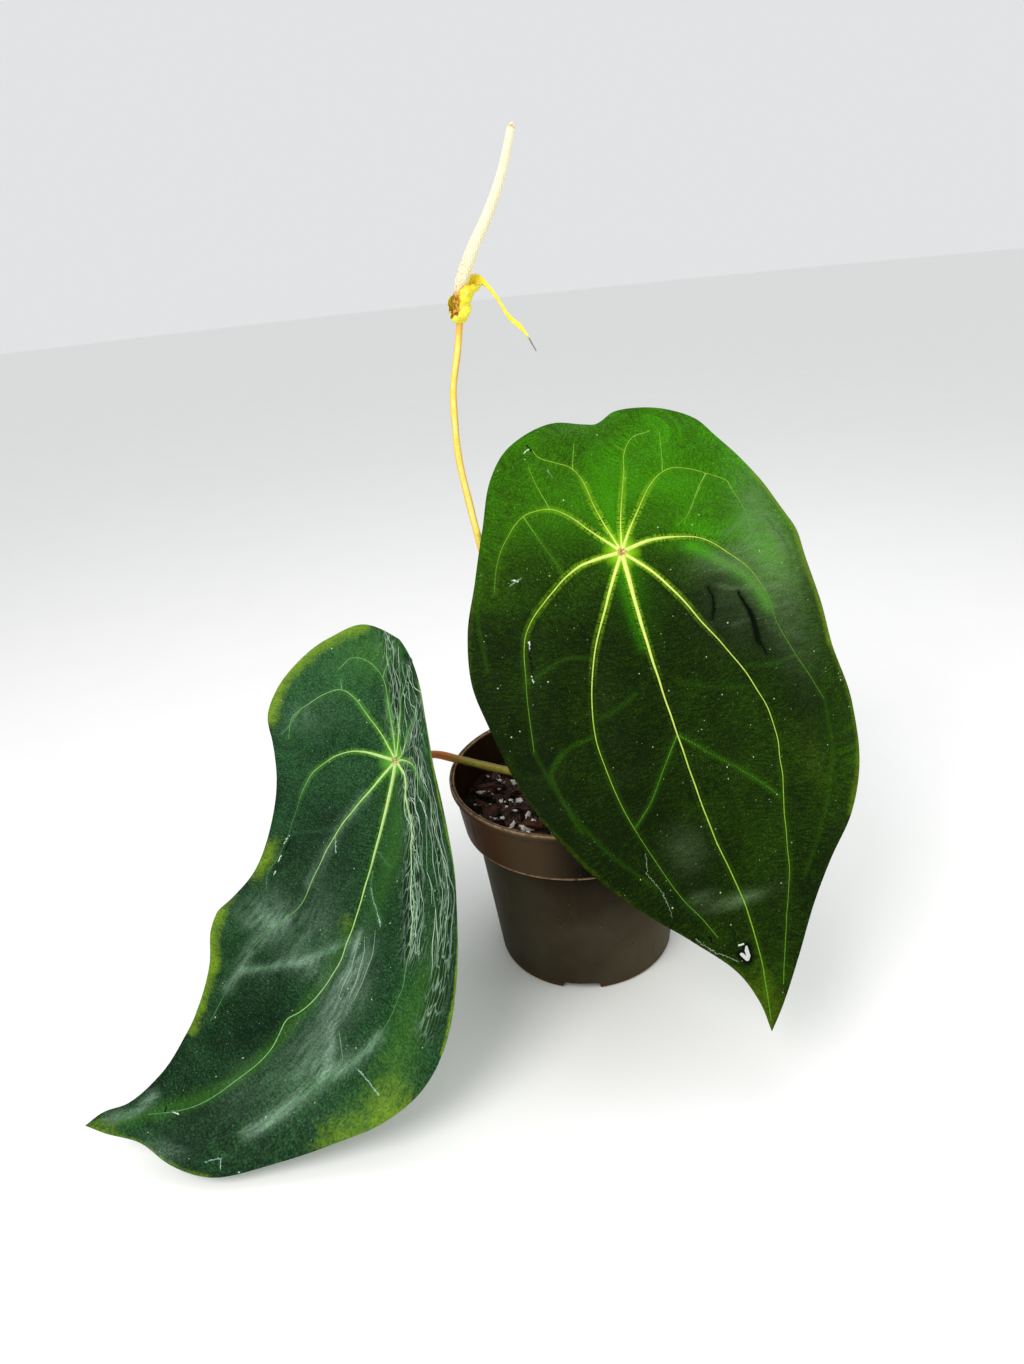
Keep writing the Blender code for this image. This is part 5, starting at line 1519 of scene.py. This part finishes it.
def buildSpadix(shape):
    line = evenly(shape["route"], 0.28)
    share = np.linspace(0, 1, len(line))
    rounding = 1 - np.clip((share - shape["tip"]) / (1 - shape["tip"]), 0, 1) ** 2
    radius = between(*shape["radii"], share) * np.sqrt(np.clip(rounding, 0.03, 1))
    mesh = tubes("spadix_beads", [(line, radius)], 15)
    points = readPoints(mesh) / mm
    run, place, index = placeOn(points, line, 4)
    tangent = unit(np.gradient(line, axis=0))[index]
    away = points - line[index]
    away -= tangent * (away * tangent).sum(1, keepdims=True)
    angle = np.arctan2(away[:, 1], away[:, 0] * tangent[:, 2] - away[:, 2] * tangent[:, 0])
    row = run / shape["pitch"] * math.pi
    turn = shape["around"] * angle / 2
    bead = np.abs(np.sin(turn + row / 2) * np.sin(turn - row / 2))
    grow = shape["relief"] * (2 * bead ** 0.7 - 1) * radius[index] * fade(1 - share[index], 0, 0.02)
    size = np.linalg.norm(away, axis=1, keepdims=True) + 1e-6
    writePoints(mesh, (points + away / size * grow[:, None]) * mm)
    paint(mesh, "bead", bead)
    paint(mesh, "left", 0.15 + 0.85 * fade(-away[:, 0] / radius[index], -0.3, 0.8))
    paint(mesh, "share", place)
    addPiece("spadix_beads", mesh, spadixMaterial(spadixLook), ["spadix"])


buildSpadix(spadixShape)

spatheShape = {
    "rows": [  # middle of the curled section, its radius, its turn to the back and to the front
        ((-31.9, 10.6, 300.4), 1.5, 3.3, 2.7), ((-31.6, 10.5, 301.3), 2.6, 3.3, 2.3),
        ((-30.7, 10.4, 302.9), 3.7, 3.25, 1.75), ((-30.3, 10.3, 305.2), 4.2, 3.2, 1.5),
        ((-29.9, 10.2, 307.6), 4.1, 3.0, 1.6), ((-29.2, 10.1, 309.4), 3.9, 2.4, 1.85),
        ((-28.0, 10.0, 311.2), 3.8, 2.1, 1.95), ((-25.8, 9.8, 313.6), 3.8, 2.2, 1.6),
        ((-23.0, 9.2, 315.0), 3.5, 1.95, 1.15), ((-20.6, 8.2, 315.0), 2.3, 1.3, 1.0),
        ((-18.9, 7.4, 313.8), 1.7, 0.95, 0.95), ((-16.6, 6.4, 311.0), 1.4, 0.85, 0.85),
        ((-13.7, 5.2, 306.2), 1.4, 0.8, 0.8), ((-10.9, 4.3, 301.4), 1.6, 0.85, 0.85),
        ((-7.5, 3.2, 298.0), 1.8, 0.95, 0.95), ((-4.9, 2.4, 294.3), 1.1, 0.7, 0.7),
        ((-3.6, 2.0, 290.8), 0.5, 0.7, 0.7), ((-2.1, 1.6, 287.6), 0.35, 0.7, 0.7)],
    "sheet": 0.4, "columns": 60, "steps": 190, "backWall": 10.4,
    "cupEnd": (6.0, 9.0),  # rows where the cup turns into the tail
    "innerEnd": (14, 20), "foldStart": (5, 9), "foldEnd": (22, 26),  # mm along the middle line
    "mouth": ((-31.8, 305.0), (1.4, 3.6)),  # x and z of the browned places, and their sizes; the mouth's is also painted shade inside the cup
    "brim": ((-30.6, 308.8), (0.9, 2.2)),
}
spatheLook = {
    "yellow": [(0.94, 0.80, 0.02), (0.96, 0.89, 0.06), (0.97, 0.94, 0.18)], "vein": (0.72, 0.42, 0.015),
    "foldShade": (0.62, 0.26, 0.006), "inner": (0.95, 0.50, 0.008), "brown": (0.42, 0.17, 0.004),
    "burntAndShade": (0.035, 0.010, 0.002), "tip": (0.22, 0.20, 0.16),
}


def spatheMaterial(look):
    skin = Skin("spathe_skin", 0.5, 0.25)
    patch, fine, browningAndShade = skin.cloud(3.0, 5.0, 0.65), skin.cloud(0.7, 4.0, 0.7), skin.painted("browningAndShade")
    skin.tone = skin.ramped(skin.ranged(patch, 0.32, 0.66), look["yellow"])
    veiny = skin.placed(netLines, Spacing=1.2, Width=0.10, Warp=0.8)
    skin.lay(look["vein"], veiny, 0.4)
    # painted shade along the rolled front edge
    skin.lay(look["foldShade"], skin.painted("foldShade"), skin.ranged(fine, 0.32, 0.55))
    skin.lay(look["inner"], skin.painted("inner"), 0.8)
    # browning on the brim, and painted shade deep in the cup's mouth
    skin.lay(look["brown"], browningAndShade, skin.ranged(patch, 0.30, 0.56))
    skin.lay(look["burntAndShade"], browningAndShade, skin.ranged(fine, 0.50, 0.60))
    skin.lay(look["tip"], skin.ranged(skin.painted("share"), 0.885, 0.915))
    return skin.done(skin.plus(patch, skin.times(veiny, 0.4)), 0.3, 0.7)


def sectionFrames(tangent):  # at each point of the line, the way in and the way to the side
    inward = Vector((-1, 0.1, 0))
    frames = []
    for axis in tangent:
        axis = Vector(axis)
        inward = (inward - axis * inward.dot(axis)).normalized()
        frames.append((np.array(inward), np.array(axis.cross(inward))))
    return frames


def spatheSheet(shape, line, sizes, at):  # the closed sheet in millimetres, and its front edge
    tangent = unit(np.gradient(line, axis=0))
    frames = sectionFrames(tangent)
    frontEdge = []
    bm = bmesh.new()
    bmesh.ops.create_grid(bm, x_segments=shape["columns"], y_segments=shape["steps"], size=0.5)
    for vert in bm.verts:
        k = int(round((vert.co.y + 0.5) * shape["steps"]))
        x = vert.co.x + 0.5
        radius, back, front = sizes[k]
        turn = between(-back, front, x)
        cup = 1 - float(fade(at[k], *shape["cupEnd"]))
        rim = max(0.0, 2 * abs(x - 0.5) - 0.7) / 0.3
        pleat = 0.5 * cup * math.sin(2.6 * at[k] + 2.0 * turn) * math.exp(-((turn - 0.5) / 1.0) ** 2)
        crumple = noise.noise(Vector((turn * 1.3, at[k] * 1.2, 0))) * (0.15 + 0.35 * cup)
        reach = radius + (pleat + crumple) * min(1.0, at[k] / 2) + 0.35 * cup * rim
        inward, side = frames[k]
        vert.co = (line[k] - inward * reach * math.cos(turn) + side * reach * math.sin(turn)
                   + tangent[k] * 0.5 * cup * rim * math.sin(5 * at[k]))
        if x > 0.999:
            frontEdge.append(tuple(vert.co))
    bmesh.ops.solidify(bm, geom=bm.faces[:], thickness=shape["sheet"])
    return meshOf(bm, "spathe_sheet"), np.array(frontEdge)


def paintSpathe(mesh, points, shape, line, frontEdge):
    reach, run = nearestOn(points, line[::3])
    paint(mesh, "share", run / lengthOf(line))
    first = np.arange(len(points)) < (shape["columns"] + 1) * (shape["steps"] + 1)
    inside = first if reach[first].mean() < reach[~first].mean() else ~first
    inner = inside * (points[:, 1] > shape["backWall"])
    paint(mesh, "inner", inner * (1 - fade(run, *shape["innerEnd"])))
    # browning with painted shade inside the cup's mouth, and browning on the brim
    mouth = 1.4 * blob(points[:, 0], points[:, 2], *shape["mouth"]) * inside
    brim = 0.8 * blob(points[:, 0], points[:, 2], *shape["brim"])
    paint(mesh, "browningAndShade", np.clip(mouth + brim, 0, 1))
    # painted shade along the rolled front edge
    edge = 1.3 * bell(nearestOn(points, frontEdge[::2])[0], 0.55) * fade(run, *shape["foldStart"])
    paint(mesh, "foldShade", np.clip(edge, 0, 1) * (1 - fade(run, *shape["foldEnd"])))


def buildSpathe(shape):
    table = [(k, *middle, radius, back, front)
             for k, (middle, radius, back, front) in enumerate(shape["rows"])]
    at = np.linspace(0, len(table) - 1, shape["steps"] + 1)
    found = smoothRows(table, at)
    line = found[:, :3]
    mesh, frontEdge = spatheSheet(shape, line, found[:, 3:], at)
    points = readPoints(mesh)
    paintSpathe(mesh, points, shape, line, frontEdge)
    writePoints(mesh, points * mm)
    addPiece("spathe_sheet", mesh, spatheMaterial(spatheLook), ["spathe"])


buildSpathe(spatheShape)
print("spadix and spathe grown")

stemShape = {
    "centre": (3.0, 6.0), "radius": 6.6, "bottom": 70.3, "rings": 40, "ringsTop": 94.0,
    "shoulder": [(4.6, 97.0), (1.5, 98.8), (0.0, 98.9)],
    "sides": 48, "scales": 7, "scaleFoot": 84.5, "scaleSheet": 0.3, "scaleTall": (15, 5),
}
stemLook = {
    "stem": [(0.05, 0.030, 0.012), (0.16, 0.11, 0.035), (0.09, 0.075, 0.02)],
    "scale": [(0.20, 0.11, 0.045), (0.42, 0.28, 0.13), (0.12, 0.06, 0.025)],
}


def stemMaterial(name, tones):
    skin = Skin(name, 0.75)
    grain = skin.cloud(0.8, 5.0, 0.65, skin.stretched(skin.place, 1.0, 1.0, 0.18))
    skin.start(skin.ranged(grain, 0.35, 0.7), *tones[:2])
    skin.lay(tones[2], skin.ranged(skin.cloud(4.0), 0.45, 0.7))
    return skin.done(grain, 0.5, 0.9)


def sheathScale(shape, k):  # a dry sheath scale: a curled pointed sheet
    bm = bmesh.new()
    bmesh.ops.create_grid(bm, x_segments=14, y_segments=24, size=0.5)
    tall = shape["scaleTall"][0] + shape["scaleTall"][1] * math.sin(k * 2.1)
    for vert in bm.verts:
        x, y = vert.co.x, vert.co.y + 0.5
        turn = x * 1.15 * (1 - y ** 1.8) * (1 + 0.1 * math.sin(9 * y + k)) * 1.2
        out = shape["radius"] - 0.4 + 2.6 * y + 0.5 * noise.noise(Vector((x * 4, y * 5, k)))
        rise = tall * y + 0.8 * noise.noise(Vector((x * 3, y * 3, k + 9)))
        vert.co = (out * math.cos(turn), out * math.sin(turn), shape["scaleFoot"] + rise)
    bmesh.ops.solidify(bm, geom=bm.faces[:], thickness=shape["scaleSheet"])
    bmesh.ops.remove_doubles(bm, verts=bm.verts, dist=0.02)
    around = Matrix.Rotation(2 * math.pi * k / shape["scales"] + 0.5, 3, "Z")
    bmesh.ops.rotate(bm, cent=(0, 0, 0), matrix=around, verts=bm.verts)
    bmesh.ops.translate(bm, vec=(*shape["centre"], 0), verts=bm.verts)
    return bm


def buildStem(shape, look):
    rings = [(0.0, shape["bottom"])]
    rings += [(shape["radius"] - 0.5 - 0.45 * abs(math.sin(height * 0.62)), height)
              for height in np.linspace(shape["bottom"], shape["ringsTop"], shape["rings"])]
    bm = turned(rings + shape["shoulder"], shape["sides"])
    for vert in bm.verts:
        knot = noise.noise(vert.co * 0.35) * 0.5
        vert.co += Vector((vert.co.x, vert.co.y, 0)).normalized() * knot
    bmesh.ops.translate(bm, vec=(*shape["centre"], 0), verts=bm.verts)
    addSolid("stem_bark", bm, stemMaterial("stem_skin", look["stem"]), ["stem"])
    papers = bmesh.new()
    for k in range(shape["scales"]):
        pour(papers, sheathScale(shape, k))
    addSolid("sheath_scales", papers, stemMaterial("dry_scale", look["scale"]))


buildStem(stemShape, stemLook)
print("stem and sheath scales made")
